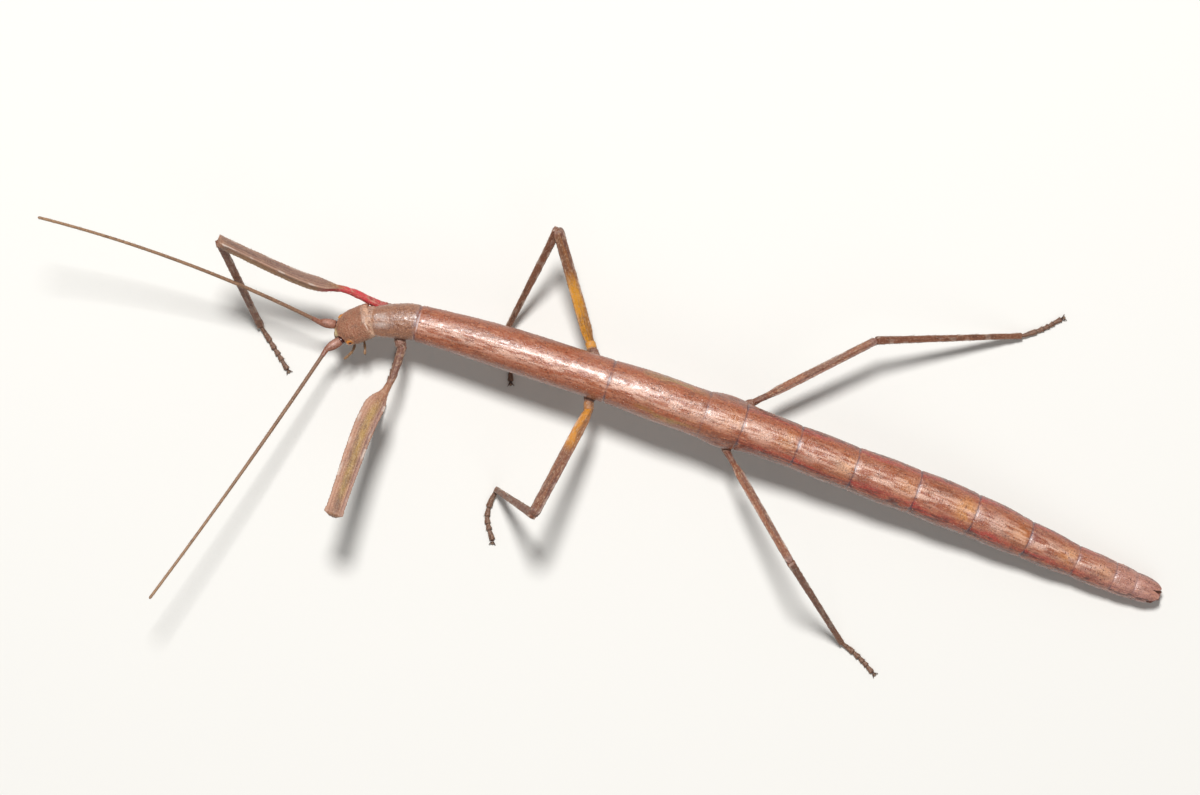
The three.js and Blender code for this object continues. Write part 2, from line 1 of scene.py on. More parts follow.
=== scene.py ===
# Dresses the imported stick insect: granular cuticle, ringed feelers, keeled legs, eyes, mouth and claws.
# Lengths are millimetres in the frame the animal was drawn in; they become metres when a mesh is made.
import bpy
import numpy as np
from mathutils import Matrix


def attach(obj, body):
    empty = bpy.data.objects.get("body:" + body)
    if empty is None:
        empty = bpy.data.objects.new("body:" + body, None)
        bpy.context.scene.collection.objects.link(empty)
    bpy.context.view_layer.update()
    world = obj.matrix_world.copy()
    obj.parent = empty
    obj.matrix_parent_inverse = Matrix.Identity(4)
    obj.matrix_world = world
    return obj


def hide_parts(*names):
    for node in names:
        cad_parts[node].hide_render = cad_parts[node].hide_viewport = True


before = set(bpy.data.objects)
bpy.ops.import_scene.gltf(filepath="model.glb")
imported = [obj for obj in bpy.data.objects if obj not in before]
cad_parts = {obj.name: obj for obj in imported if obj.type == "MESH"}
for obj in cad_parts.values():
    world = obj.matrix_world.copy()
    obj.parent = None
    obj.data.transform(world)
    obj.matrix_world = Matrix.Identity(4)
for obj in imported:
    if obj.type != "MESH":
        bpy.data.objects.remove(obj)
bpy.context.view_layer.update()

standingMiddle = np.array([1.11, -5.28, 0.0])
skyward = np.array([0.0, 0.0, 1.0])


def unit(v):
    return v / np.maximum(np.linalg.norm(v, axis=-1, keepdims=True), 1e-12)


def smooth(x, low, high):
    # 0 below low, 1 above high, and a cubic ease between them
    t = np.clip((x - low) / (high - low), 0, 1)
    return t * t * (3 - 2 * t)


def bell(x, width):
    # 1 where x is 0, falling off on both sides like exp(-(x / width) squared)
    return np.exp(-(x / width) ** 2)


def pointing(bearing, rise):
    # unit vector at a bearing round +Z and a rise above the level, both in degrees
    b, r = np.radians(bearing), np.radians(rise)
    return np.array([np.cos(r) * np.cos(b), np.cos(r) * np.sin(b), np.sin(r)])


def through(knotX, knotValue, x):
    # cubic through the knots, where each knot's slope is that of the line between its two neighbours
    k = np.arange(len(knotX))
    low, high = np.maximum(k - 1, 0), np.minimum(k + 1, len(k) - 1)
    slope = (knotValue[high] - knotValue[low]) / (knotX[high] - knotX[low])
    i = np.searchsorted(knotX[1:-1], x)
    span = knotX[i + 1] - knotX[i]
    t = (x - knotX[i]) / span
    line = knotValue[i] + (knotValue[i + 1] - knotValue[i]) * t * t * (3 - 2 * t)
    return line + span * t * (1 - t) * ((1 - t) * slope[i] - t * slope[i + 1])


def axesAt(forward, up):
    # side and upright axes square to the path, with the upright one as near to the given up as can be
    f = unit(forward)
    s = unit(np.cross(up, f))
    return s, np.cross(f, s)


def bent(points, count=400):
    # centripetal Catmull-Rom curve through the points, as points evenly spaced along it
    p = np.asarray(points, float)
    p = np.vstack([2 * p[0] - p[1], p, 2 * p[-1] - p[-2]])
    u = np.linspace(0, len(p) - 3, count * 4)
    i = np.minimum(u.astype(int), len(p) - 4)
    w = (u - i)[:, None]
    a, b, c, d = p[i], p[i + 1], p[i + 2], p[i + 3]
    ab, bc, cd = (np.sqrt(np.linalg.norm(q - r, axis=1))[:, None] for q, r in ((a, b), (b, c), (c, d)))
    slopeB = ((b - a) / ab - (c - a) / (ab + bc) + (c - b) / bc) * bc
    slopeC = ((c - b) / bc - (d - b) / (bc + cd) + (d - c) / cd) * bc
    curve = (b + slopeB * w + (3 * (c - b) - 2 * slopeB - slopeC) * w ** 2
             + (2 * (b - c) + slopeB + slopeC) * w ** 3)
    return evenly(curve, count)


def evenly(curve, count):
    # the same curve as points at equal steps of length
    run = np.r_[0, np.cumsum(np.linalg.norm(np.diff(curve, axis=0), axis=1))]
    at = np.linspace(0, run[-1], count)
    return np.stack([np.interp(at, run, curve[:, k]) for k in range(3)], 1)


def straight(start, end, count=60):
    return np.linspace(0, 1, count)[:, None] * (np.asarray(end) - start) + start


latticeValues = np.random.default_rng(11).random((32, 32, 32))


def noiseAt(points, cell, shift=0.0):
    # smooth values from 0 to 1: random numbers at the corners of cubes of the given size (one number
    # or one for each axis), blended across each cube by the cubic ease
    p = points / np.asarray(cell, float) + shift
    base = np.floor(p).astype(int)
    f = p - base
    f = f * f * (3 - 2 * f)
    total = 0
    for corner in np.ndindex(2, 2, 2):
        share = np.prod(np.where(corner, f, 1 - f), axis=-1)
        at = (base + corner) % 32
        total = total + share * latticeValues[at[..., 0], at[..., 1], at[..., 2]]
    return total


def makeMesh(name, vertices, faceSets, masks, rootUvs=None):
    # vertices in millimetres; faceSets are arrays with one row of corner numbers for each face, and every
    # face is turned round if the closed shape's volume, the sum of a . (b x c), comes out negative
    mesh = bpy.data.meshes.new(name)
    place = (vertices - standingMiddle) * 0.001
    triangles = np.vstack([f[:, [0, k, k + 1]] for f in faceSets for k in range(1, f.shape[1] - 1)])
    a, b, c = (place[triangles[:, k]] for k in range(3))
    if np.sum(a * np.cross(b, c)) - np.sum(np.cross(b - a, c - a) @ place.mean(0)) < 0:
        faceSets = [f[:, ::-1] for f in faceSets]
    corners = np.concatenate([f.ravel() for f in faceSets]).astype(np.int32)
    sizes = np.concatenate([np.full(len(f), f.shape[1]) for f in faceSets])
    mesh.vertices.add(len(place))
    mesh.vertices.foreach_set("co", place.astype(np.float32).ravel())
    mesh.loops.add(len(corners))
    mesh.loops.foreach_set("vertex_index", corners)
    mesh.polygons.add(len(sizes))
    mesh.polygons.foreach_set("loop_start", np.r_[0, np.cumsum(sizes)[:-1]].astype(np.int32))
    mesh.update(calc_edges=True)
    mesh.polygons.foreach_set("use_smooth", np.ones(len(sizes), bool))
    for mask, values in masks.items():
        isVector = np.ndim(values) == 2
        layer = mesh.attributes.new(mask, "FLOAT_VECTOR" if isVector else "FLOAT", "POINT")
        layer.data.foreach_set("vector" if isVector else "value", values.astype(np.float32).ravel())
    if rootUvs is not None:
        layer = mesh.uv_layers.new(name="OFBake")
        layer.uv.foreach_set("vector", rootUvs[corners].astype(np.float32).ravel())
    return mesh


def addPiece(name, mesh, material, slot, *nodes):
    piece = bpy.data.objects.new(name, mesh)
    bpy.context.scene.collection.objects.link(piece)
    mesh.materials.append(material)
    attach(piece, "root")
    if nodes:
        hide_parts(*nodes)
    return piece


def closedPiece(name, points, ends, masks, material, slot, *nodes):
    # a grid of rings with its two end points, as one closed piece
    return addPiece(name, makeMesh(name, *closedGrid(points, ends, masks)), material, slot, *nodes)


def gridFaces(rows, columns):
    # quads between neighbouring rows of a grid that closes on itself round each row
    a = np.arange((rows - 1) * columns).reshape(rows - 1, columns)
    b = np.roll(a, -1, axis=1)
    return np.stack([a, b, b + columns, a + columns], -1).reshape(-1, 4)


def closedGrid(points, ends, masks):
    # a grid of rings whose two open ends are closed by fans round one point each
    rows, columns = points.shape[:2]
    vertices = np.vstack([points.reshape(-1, 3), ends])
    first = np.arange(columns)
    last = first + (rows - 1) * columns
    pole = rows * columns
    fans = np.vstack([np.stack([np.roll(first, -1), first, np.full(columns, pole)], 1),
                      np.stack([last, np.roll(last, -1), np.full(columns, pole + 1)], 1)])
    full = {}
    for mask, values in masks.items():
        values = np.broadcast_to(values, (rows, columns) + np.shape(values)[2:])
        endValues = np.stack([values[0].mean(0), values[-1].mean(0)])
        full[mask] = np.concatenate([values.reshape(rows * columns, *values.shape[2:]), endValues])
    return vertices, [gridFaces(rows, columns), fans], full


def outwardOf(points):
    # unit normals of a grid of rings, from its own slopes along and round, turned away from the middle
    along = np.gradient(points, axis=0)
    girthwise = np.roll(points, -1, axis=1) - np.roll(points, 1, axis=1)
    normal = unit(np.cross(along, girthwise))
    middle = points.mean(axis=1, keepdims=True)
    return normal * np.sign(np.sum(normal * (points - middle)))


def limbStations(length, step, domes):
    # shares of the length, with a quarter circle of rings for each domed end, and each ring's dome
    quarter = np.linspace(0, np.pi / 2, 9)[1:]
    start = domes[0] * (1 - np.cos(quarter))
    end = length - domes[1] * (1 - np.cos(quarter[::-1]))
    body = np.linspace(start[-1], end[0], max(3, int((end[0] - start[-1]) / step)))[1:-1]
    dome = np.r_[np.sin(quarter), np.ones(len(body)), np.sin(quarter[::-1])]
    return np.r_[start, body, end] / length, dome


def limbGrid(path, up, section, around, step, domes):
    # section(t, angle) gives the half width along the side axis and the half depth along the upright
    # one; a ring's points are path + side * across * sin(angle) + upright * deep * cos(angle)
    run = np.r_[0, np.cumsum(np.linalg.norm(np.diff(path, axis=0), axis=1))]
    t, dome = limbStations(run[-1], step, domes)
    middle = np.stack([np.interp(t * run[-1], run, path[:, k]) for k in range(3)], 1)
    slope = np.stack([np.interp(t * run[-1], run, np.gradient(path, axis=0)[:, k]) for k in range(3)], 1)
    s, u = axesAt(slope, up)
    angle = np.arange(around) * 2 * np.pi / around
    across, deep = section(t[:, None], angle[None, :])
    shape = (len(t), around)
    across, deep = (np.broadcast_to(v, shape) * dome[:, None] for v in (across, deep))
    aside, above = across * np.sin(angle), deep * np.cos(angle)
    offset = s[:, None] * aside[..., None] + u[:, None] * above[..., None]
    lay = np.stack([np.broadcast_to(t[:, None] * run[-1], shape), aside, above], -1)
    return {"points": middle[:, None] + offset, "ends": path[[0, -1]], "middle": middle, "length": run[-1],
            "t": t[:, None], "angle": angle[None, :], "lay": lay, "radial": unit(offset)}


def limbPiece(name, grid, lift, masks, material, slot, *nodes):
    # the grid pushed outwards by lift, as one closed piece
    push(grid, lift)
    return closedPiece(name, grid["points"], grid["ends"], {"lay": grid["lay"], **masks}, material, slot, *nodes)


def push(grid, lift):
    # moves each point of a limb outwards by its lift
    grid["points"] = grid["points"] + grid["radial"] * np.broadcast_to(lift, grid["lay"].shape[:2])[..., None]


def stayAbove(grid):
    # flattens what would pass through the floor
    grid["points"][..., 2] = np.maximum(grid["points"][..., 2], 0.0)


def even(wide, high):
    # section with the same half width and half depth all along
    return lambda t, angle: (wide + 0 * angle, high + 0 * angle)


def tapered(start, end):
    # round section whose radius runs evenly from start to end
    return lambda t, angle: (start + (end - start) * t + 0 * angle,) * 2


def uneven(points, height, cell, shift):
    # smooth noise as high as given, half of it above the surface and half below
    return height * (noiseAt(points, cell, shift) - 0.5)


def roundGap(angle, centre):
    # signed difference of two angles, between -pi and pi
    return (angle - centre + np.pi) % (2 * np.pi) - np.pi


def colour(code):
    # linear colour of a hexadecimal sRGB one
    c = np.array([int(code[k:k + 2], 16) for k in (0, 2, 4)]) / 255
    linear = np.where(c < 0.04045, c / 12.92, ((c + 0.055) / 1.055) ** 2.4)
    return (*linear.tolist(), 1.0)


def addNode(tree, kind, values=None, **settings):
    # one shader node; a value that is a socket is linked, any other value is set on the socket
    node = tree.nodes.new("ShaderNode" + kind)
    for key, value in settings.items():
        setattr(node, key, value)
    for key, value in (values or {}).items():
        if isinstance(value, bpy.types.NodeSocket):
            tree.links.new(value, node.inputs[key])
        else:
            node.inputs[key].default_value = value
    return node


def mathOf(tree, operation, a, b=0.0, c=0.0, clamp=False):
    return addNode(tree, "Math", {0: a, 1: b, 2: c}, operation=operation, use_clamp=clamp).outputs[0]


def rangeOf(tree, value, fromLow, fromHigh, toLow=0.0, toHigh=1.0):
    values = {"Value": value, "From Min": fromLow, "From Max": fromHigh, "To Min": toLow, "To Max": toHigh}
    return addNode(tree, "MapRange", values, interpolation_type="SMOOTHSTEP").outputs[0]


def mixOf(tree, factor, a, b, blend="MIX"):
    return addNode(tree, "Mix", {0: factor, 6: a, 7: b}, data_type="RGBA", blend_type=blend).outputs[2]


def maskOf(tree, name, output="Fac"):
    return addNode(tree, "Attribute", attribute_name=name).outputs[output]


def effectGroup(name, inputs, outputs):
    # an empty shader node group with named sockets: each input is (kind, first value)
    group = bpy.data.node_groups.new(name, "ShaderNodeTree")
    for key, (kind, value) in inputs.items():
        socket = group.interface.new_socket(key, in_out="INPUT", socket_type="NodeSocket" + kind)
        if value is not None:
            socket.default_value = value
    for key, kind in outputs.items():
        group.interface.new_socket(key, in_out="OUTPUT", socket_type="NodeSocket" + kind)
    return group, group.nodes.new("NodeGroupInput"), group.nodes.new("NodeGroupOutput")


def placed(tree, group, values):
    # the group as a node in a material, with its own values
    return addNode(tree, "Group", values, node_tree=group).outputs


def stretched(group, given):
    # the straightened coordinates, squeezed along the body so that the effect is drawn out
    squeeze = addNode(group, "CombineXYZ", {"X": given.outputs["Stretch"], "Y": 1.0, "Z": 1.0}).outputs[0]
    sides = {0: given.outputs["Lay"], 1: squeeze}
    return addNode(group, "VectorMath", sides, operation="MULTIPLY").outputs[0]


def tinted(tree, tone, marks):
    # the tone with each mark's colour mixed in where its mask lies, by its amount
    for mask, code, amount in marks:
        share = mathOf(tree, "MULTIPLY", maskOf(tree, mask), amount, clamp=True)
        tone = mixOf(tree, share, tone, colour(code))
    return tone


def newMaterial(name):
    material = bpy.data.materials.new(name)
    material.use_nodes = True
    return material, material.node_tree, material.node_tree.nodes["Principled BSDF"]


def makeGranules():
    # pebbled cuticle: cells of two sizes, raised in their middles, over a fine uneven ground
    group, given, out = effectGroup("granules", {
        "Lay": ("Vector", None), "Cells per mm": ("Float", 6.0), "Stretch": ("Float", 1.0)},
        {"Height": "Float", "Tops": "Float"})
    place = stretched(group, given)
    coarse = addNode(group, "TexVoronoi", {"Vector": place, "Scale": given.outputs["Cells per mm"]},
                     feature="SMOOTH_F1").outputs["Distance"]
    fineScale = mathOf(group, "MULTIPLY", given.outputs["Cells per mm"], 2.3)
    fine = addNode(group, "TexVoronoi", {"Vector": place, "Scale": fineScale},
                   feature="F1").outputs["Distance"]
    tops = rangeOf(group, coarse, 0.55, 0.1)
    height = mathOf(group, "ADD", tops, mathOf(group, "MULTIPLY", rangeOf(group, fine, 0.7, 0.1), 0.4))
    group.links.new(height, out.inputs["Height"])
    group.links.new(tops, out.inputs["Tops"])
    return group


def makeMottle():
    # a colour that wanders between a darker and a lighter one in blotches, and again in fine flecks
    group, given, out = effectGroup("mottle", {
        "Lay": ("Vector", None), "Colour": ("Color", None), "Dark": ("Color", None), "Pale": ("Color", None),
        "Blotches per mm": ("Float", 1.0), "Stretch": ("Float", 1.0), "Amount": ("Float", 0.5)},
        {"Colour": "Color", "Flecks": "Float"})
    place = stretched(group, given)
    blotch = addNode(group, "TexNoise", {"Vector": place, "Scale": given.outputs["Blotches per mm"],
                                         "Detail": 3.0, "Roughness": 0.65}).outputs["Fac"]
    fineScale = mathOf(group, "MULTIPLY", given.outputs["Blotches per mm"], 7.0)
    fleck = addNode(group, "TexNoise", {"Vector": place, "Scale": fineScale, "Detail": 2.0,
                                        "Roughness": 0.6}).outputs["Fac"]
    amount = given.outputs["Amount"]
    dark = mathOf(group, "MULTIPLY", rangeOf(group, blotch, 0.5, 0.32), amount)
    pale = mathOf(group, "MULTIPLY", rangeOf(group, fleck, 0.52, 0.7), amount)
    shade = mixOf(group, dark, given.outputs["Colour"], given.outputs["Dark"])
    group.links.new(mixOf(group, pale, shade, given.outputs["Pale"]), out.inputs["Colour"])
    group.links.new(fleck, out.inputs["Flecks"])
    return group


def makePits():
    # scattered dark dots: the middles of some of the cells, picked by each cell's own random number
    group, given, out = effectGroup("pits", {
        "Lay": ("Vector", None), "Dots per mm": ("Float", 2.0), "Share": ("Float", 0.3),
        "Radius": ("Float", 0.2)}, {"Mask": "Float"})
    cells = addNode(group, "TexVoronoi", {"Vector": given.outputs["Lay"],
                                          "Scale": given.outputs["Dots per mm"]})
    lot = addNode(group, "SeparateColor", {0: cells.outputs["Color"]}).outputs[0]
    picked = mathOf(group, "LESS_THAN", lot, given.outputs["Share"])
    dot = mathOf(group, "LESS_THAN", cells.outputs["Distance"], given.outputs["Radius"])
    group.links.new(mathOf(group, "MULTIPLY", picked, dot), out.inputs["Mask"])
    return group


def makeLines():
    # thin wavy lines along the body: places where a stretched noise passes through its middle value
    group, given, out = effectGroup("lines", {
        "Lay": ("Vector", None), "Lines per mm": ("Float", 2.0), "Stretch": ("Float", 0.15),
        "Width": ("Float", 0.06)}, {"Mask": "Float"})
    place = stretched(group, given)
    field = addNode(group, "TexNoise", {"Vector": place, "Scale": given.outputs["Lines per mm"],
                                        "Detail": 2.5, "Roughness": 0.55}).outputs["Fac"]
    away = mathOf(group, "ABSOLUTE", mathOf(group, "SUBTRACT", field, 0.5))
    width = given.outputs["Width"]
    group.links.new(rangeOf(group, away, width, mathOf(group, "MULTIPLY", width, 0.3)), out.inputs["Mask"])
    return group


def makeStipple():
    # fine dark speckle that is denser in some places than in others
    group, given, out = effectGroup("stipple", {
        "Lay": ("Vector", None), "Specks per mm": ("Float", 9.0), "Amount": ("Float", 0.5)},
        {"Mask": "Float"})
    speck = addNode(group, "TexNoise", {
        "Vector": given.outputs["Lay"], "Scale": given.outputs["Specks per mm"],
        "Detail": 1.5, "Roughness": 0.7}).outputs["Fac"]
    crowd = addNode(group, "TexNoise", {"Vector": given.outputs["Lay"], "Scale": 1.3,
                                        "Detail": 2.0}).outputs["Fac"]
    dark = mathOf(group, "MULTIPLY", rangeOf(group, speck, 0.5, 0.38),
                  rangeOf(group, crowd, 0.35, 0.6, 0.35, 1.0))
    group.links.new(mathOf(group, "MULTIPLY", dark, given.outputs["Amount"]), out.inputs["Mask"])
    return group


granules, mottle, pits, lines, stipple = makeGranules(), makeMottle(), makePits(), makeLines(), makeStipple()


def cuticle(name, look):
    # base colour, then the tones that the piece's own masks carry, then mottling, pits, pale granules
    # on the ridges and dark borders; the height of the granules drives the bump
    material, tree, shader = newMaterial(name)
    lay = maskOf(tree, "lay", "Vector")
    tone = tinted(tree, colour(look["base"]), look.get("tones", ()))
    stretch = look.get("stretch", 0.4)
    if "evenWhere" in look:
        stretch = rangeOf(tree, maskOf(tree, look["evenWhere"]), 0.0, 1.0, stretch, 1.0)
    spots = placed(tree, mottle, {"Lay": lay, "Colour": tone, "Dark": colour(look["dark"]),
                                  "Pale": colour(look["pale"]), "Blotches per mm": look.get("blotches", 1.0),
                                  "Stretch": stretch, "Amount": look.get("mottling", 0.5)})
    grain = placed(tree, granules, {"Lay": lay, "Cells per mm": look.get("grain", 6.0),
                                    "Stretch": look.get("grainStretch", 0.8)})
    tops = mathOf(tree, "MULTIPLY", grain["Tops"], look.get("topPaleness", 0.15))
    tone = mixOf(tree, tops, spots["Colour"], colour(look["pale"]))
    if "stippling" in look:
        specks = placed(tree, stipple, {"Lay": lay, "Specks per mm": look.get("specks", 9.0),
                                        "Amount": look["stippling"]})
        tone = mixOf(tree, specks["Mask"], tone, colour(look["dark"]))
    if "lineMask" in look:
        thin = placed(tree, lines, {"Lay": lay, "Lines per mm": look["linesPerMm"]})
        amount = mathOf(tree, "MULTIPLY", thin["Mask"], maskOf(tree, look["lineMask"]))
        amount = mathOf(tree, "MULTIPLY", amount, look["lineStrength"])
        tone = mixOf(tree, amount, tone, colour(look["lineColour"]))
    if "pitColour" in look:
        holes = placed(tree, pits, {"Lay": lay, "Dots per mm": look["pitsPerMm"], "Share": look["pitShare"],
                                    "Radius": look["pitRadius"]})
        amount = mathOf(tree, "MULTIPLY", holes["Mask"], look["pitStrength"])
        tone = mixOf(tree, amount, tone, colour(look["pitColour"]))
    tone = tinted(tree, tone, look.get("over", ()))
    tree.links.new(tone, shader.inputs["Base Color"])
    rough = rangeOf(tree, spots["Flecks"], 0.3, 0.7, look["roughness"] - 0.08, look["roughness"] + 0.1)
    tree.links.new(rough, shader.inputs["Roughness"])
    shader.inputs["Specular IOR Level"].default_value = look.get("specular", 0.5)
    shader.inputs["Coat Weight"].default_value = look.get("coat", 0.0)
    shader.inputs["Coat Roughness"].default_value = 0.25
    bump = addNode(tree, "Bump", {"Height": grain["Height"], "Strength": look.get("bump", 0.5),
                                  "Distance": look.get("bumpHeight", 0.00003)})
    tree.links.new(bump.outputs["Normal"], shader.inputs["Normal"])
    return material


print("tools and finishes ready")

trunk = {
    "neck": (-24.35, -0.68, 7.25, 1.5, 1.32),
    "segments": (  # station, across, height, half width, half height, swell
        ("prothorax", -19.9, 0.77, 7.6, 1.86, 1.58, 0.05), ("mesothorax", 0.3, 1.86, 8.5, 2.25, 2.05, 0.12),
        ("metathorax", 10.4, 2.0, 8.35, 2.38, 2.18, 0.1), ("abdomen_1", 14.3, 2.13, 8.05, 2.32, 2.15, 0.02),
        ("abdomen_2", 20.2, 2.1, 7.4, 2.26, 2.1, 0.04), ("abdomen_3", 26.4, 1.98, 6.6, 2.29, 2.1, 0.06),
        ("abdomen_4", 33.1, 1.92, 5.7, 2.33, 2.1, 0.07), ("abdomen_5", 39.5, 1.72, 4.75, 2.27, 2.02, 0.08),
        ("abdomen_6", 45.6, 1.28, 3.8, 2.0, 1.78, 0.09), ("abdomen_7", 51.05, 0.9, 2.95, 1.7, 1.54, 0.09),
        ("abdomen_8", 55.3, 0.7, 2.36, 1.63, 1.34, 0.04), ("abdomen_9", 57.7, 0.62, 2.06, 1.48, 1.16, 0.02),
        ("abdomen_10", 60.5, 0.6, 1.8, 1.12, 0.74, 0.05)),
    "around": 128, "rings": 700,
    "leanFront": 3, "leanBack": 16,  # degrees that the back leans to the right
    "bellyFlatness": 0.08,
    "foldStation": 12.8, "foldLength": 2.2, "foldAround": 100, "foldSpread": 26, "foldDepth": 0.4,
    "pinchDepth": 0.05, "pinchReach": 0.3,
    "plateRise": 0.045, "plateReach": 0.3, "grooveDepth": 0.07, "grooveReach": 0.09,
    "wrinkleHeight": 0.03, "unevenness": 0.035, "flankGroove": 0.05,
    "lobeLength": 1.1, "lobeSide": 0.6, "lobeHalfWidth": 0.6, "hollowDepth": 1.3,
    # for each border between two segments: the pale patch before it, the frosted spot and the dark line
    "patches": np.array([0, 0.1, 0.1, 0.3, 0.4, 0.5, 0.3, 1.0, 0.35, 0.6, 0.7, 0.2]),
    "frosts": np.array([0.3, 0.9, 0.1, 0.6, 1.0, 1.0, 0.7, 0.15, 0.1, 0.1, 0, 0]),
    "seams": np.array([0.7, 0.8, 0.3, 0.9, 0.9, 0.9, 0.9, 0.9, 0.8, 0.6, 0.45, 0.3]),
}
segmentNames = [row[0] for row in trunk["segments"]]
trunkKnots = np.array([trunk["neck"]] + [row[1:6] for row in trunk["segments"]])
swells = np.array([row[6] for row in trunk["segments"]])
borders = trunkKnots[:, 0]
trunkStart, trunkEnd = borders[0], borders[-1]


def trunkMiddle(x):
    return np.stack([x, through(borders, trunkKnots[:, 1], x), through(borders, trunkKnots[:, 2], x)], -1)


def trunkAxes(x):
    # side and upright axes of the trunk, turned to the right by the lean
    step = 0.05
    forward = trunkMiddle(x + step) - trunkMiddle(x - step)
    share = np.clip((x - trunkStart) / (trunkEnd - trunkStart), 0, 1)
    tilt = np.radians(trunk["leanFront"] + (trunk["leanBack"] - trunk["leanFront"]) * share)[..., None]
    s, u = axesAt(forward, skyward)
    return axesAt(forward, u * np.cos(tilt) + s * np.sin(tilt))


def trunkHalves(x):
    # half width and half height with each segment's swell, less the pinch at its two ends
    i = np.clip(np.searchsorted(borders, x) - 1, 0, len(swells) - 1)
    share = np.clip((x - borders[i]) / (borders[i + 1] - borders[i]), 0, 1)
    toBorder = np.abs(x[..., None] - borders).min(-1)
    swell = swells[i] * np.sin(np.pi * share) ** 2 - trunk["pinchDepth"] * bell(toBorder, trunk["pinchReach"])
    return through(borders, trunkKnots[:, 3], x) + swell, through(borders, trunkKnots[:, 4], x) + swell


def trunkPoint(x, angle, lift=0.0):
    # x and angle as arrays of one shape; angle 0 is the back and grows to the right
    s, u = trunkAxes(x)
    across, deep = trunkHalves(x)
    aside = (np.abs(angle) - np.radians(trunk["foldAround"])) / np.radians(trunk["foldSpread"])
    along = (x - trunk["foldStation"]) / trunk["foldLength"]
    across = across + trunk["foldDepth"] * np.exp(-along ** 2 - aside ** 2) + lift
    deep = deep * (1 - trunk["bellyFlatness"] * np.maximum(0, -np.cos(angle)) ** 3) + lift
    return (trunkMiddle(x) + s * (across * np.sin(angle))[..., None] + u * (deep * np.cos(angle))[..., None])


def trunkStations():
    # rings crowd towards the borders between the segments
    x = np.linspace(trunkStart, trunkEnd, 6000)
    density = 1 + 1.8 * bell(np.abs(x[:, None] - borders).min(-1), 0.45)
    run = np.r_[0, np.cumsum(density[1:])]
    return np.interp(np.linspace(0, run[-1], trunk["rings"]), run, x)


def trunkGrid():
    # the outer skin as rings, then the rolled lip of the last segment and the hollow inside it; the rim
    # ends in two half ellipses, one for each lobe, and is cut away underneath
    x = trunkStations()
    angle = roundGap(np.arange(trunk["around"]) * 2 * np.pi / trunk["around"], 0)[None, :]
    aside = np.where(np.abs(angle) < np.pi / 2, 1.3 * np.sin(np.abs(angle)), 9) - trunk["lobeSide"]
    recess = trunk["lobeLength"] * (1 - np.sqrt(1 - np.clip(aside / trunk["lobeHalfWidth"], -1, 1) ** 2))
    station = x[:, None] - recess * smooth(x, trunkEnd - 2.4, trunkEnd)[:, None]
    roll = np.linspace(0, np.pi / 2, 5)[1:]
    back = np.linspace(0, 1, 9)[1:]
    shrink = np.r_[np.ones(len(x)), 1 - 0.09 * (1 - np.cos(roll)), 0.88 - 0.1 * back - 0.45 * back ** 4]
    overhang = np.r_[np.zeros(len(x)), 0.05 * np.sin(roll * 2), -trunk["hollowDepth"] * back]
    rimStation = np.repeat(station[-1:], len(roll) + len(back), axis=0)
    inside = np.r_[np.zeros(len(x)), smooth(np.arange(len(roll) + len(back)), 2, 7)]
    along = np.vstack([station, rimStation]) + overhang[:, None]
    return x, angle + 0 * along, along, shrink[:, None], inside[:, None]


def trunkSkin():
    x, angle, along, shrink, inside = trunkGrid()
    s, u = trunkAxes(along)
    across, deep = trunkHalves(along)
    lay = np.stack([along, across * np.sin(angle), deep * np.cos(angle)], -1)
    fromBorder = along[..., None] - borders[1:-1]
    rise = (trunk["plateRise"] * np.exp(np.minimum(fromBorder, 0) / trunk["plateReach"]) * (fromBorder < 0)
            * trunk["seams"]).sum(-1)
    groove = (trunk["grooveDepth"] * bell(fromBorder - 0.05, trunk["grooveReach"]) * trunk["seams"]).sum(-1)
    side = smooth(np.abs(angle), 0.35, 1.0)
    lineNoise = noiseAt(lay, (1.7, 0.26, 0.26), 3.3) + 0.35 * (noiseAt(lay, (0.7, 0.2, 0.2), 9.1) - 0.5)
    inAbdomen = smooth(along, 9.0, 16.0)
    wrinkle = bell(lineNoise - 0.5, 0.055) * side * (0.25 + 0.75 * inAbdomen) * smooth(along, -19.8, -18)
    flank = bell(np.abs(angle) - 1.85, 0.06) * smooth(along, -19.5, -18)
    waves = noiseAt(lay, (0.5, 0.3, 0.3), 5.0) - 0.5
    pebbled = noiseAt(lay, 0.24, 8.0) - 0.5
    pronotal = smooth(along, -19.84, -19.96)
    furrow = bell(along + 22.45, 0.09) * bell(angle, 0.8)  # short furrow across the pronotum
    collar = 0.06 * smooth(along, trunkStart + 0.35, trunkStart)  # the front edge draws in to the neck
    ridge = 0.07 * bell(angle + 1.15, 0.1) * bell(along + 23.4, 0.8)
    lift = (rise - groove - trunk["wrinkleHeight"] * wrinkle - trunk["flankGroove"] * flank
            + trunk["unevenness"] * waves + (0.02 + 0.05 * pronotal) * pebbled - 0.05 * furrow - collar + ridge
            + 0.03 * bell(angle, 0.07) * smooth(along, 0, -19))
    lift = lift * (1 - inside)
    points = trunkPoint(along, angle, lift)
    middle = trunkMiddle(along)
    points = middle + (points - middle) * shrink[..., None]
    # the hollow mask marks the inside of the tail's lip, which the finish paints near black as painted shade
    return points, {**trunkMasks(lay, along, angle, fromBorder), "wrinkle": wrinkle, "flank": flank,
                    "pronotal": pronotal, "hollow": inside + 0 * along}


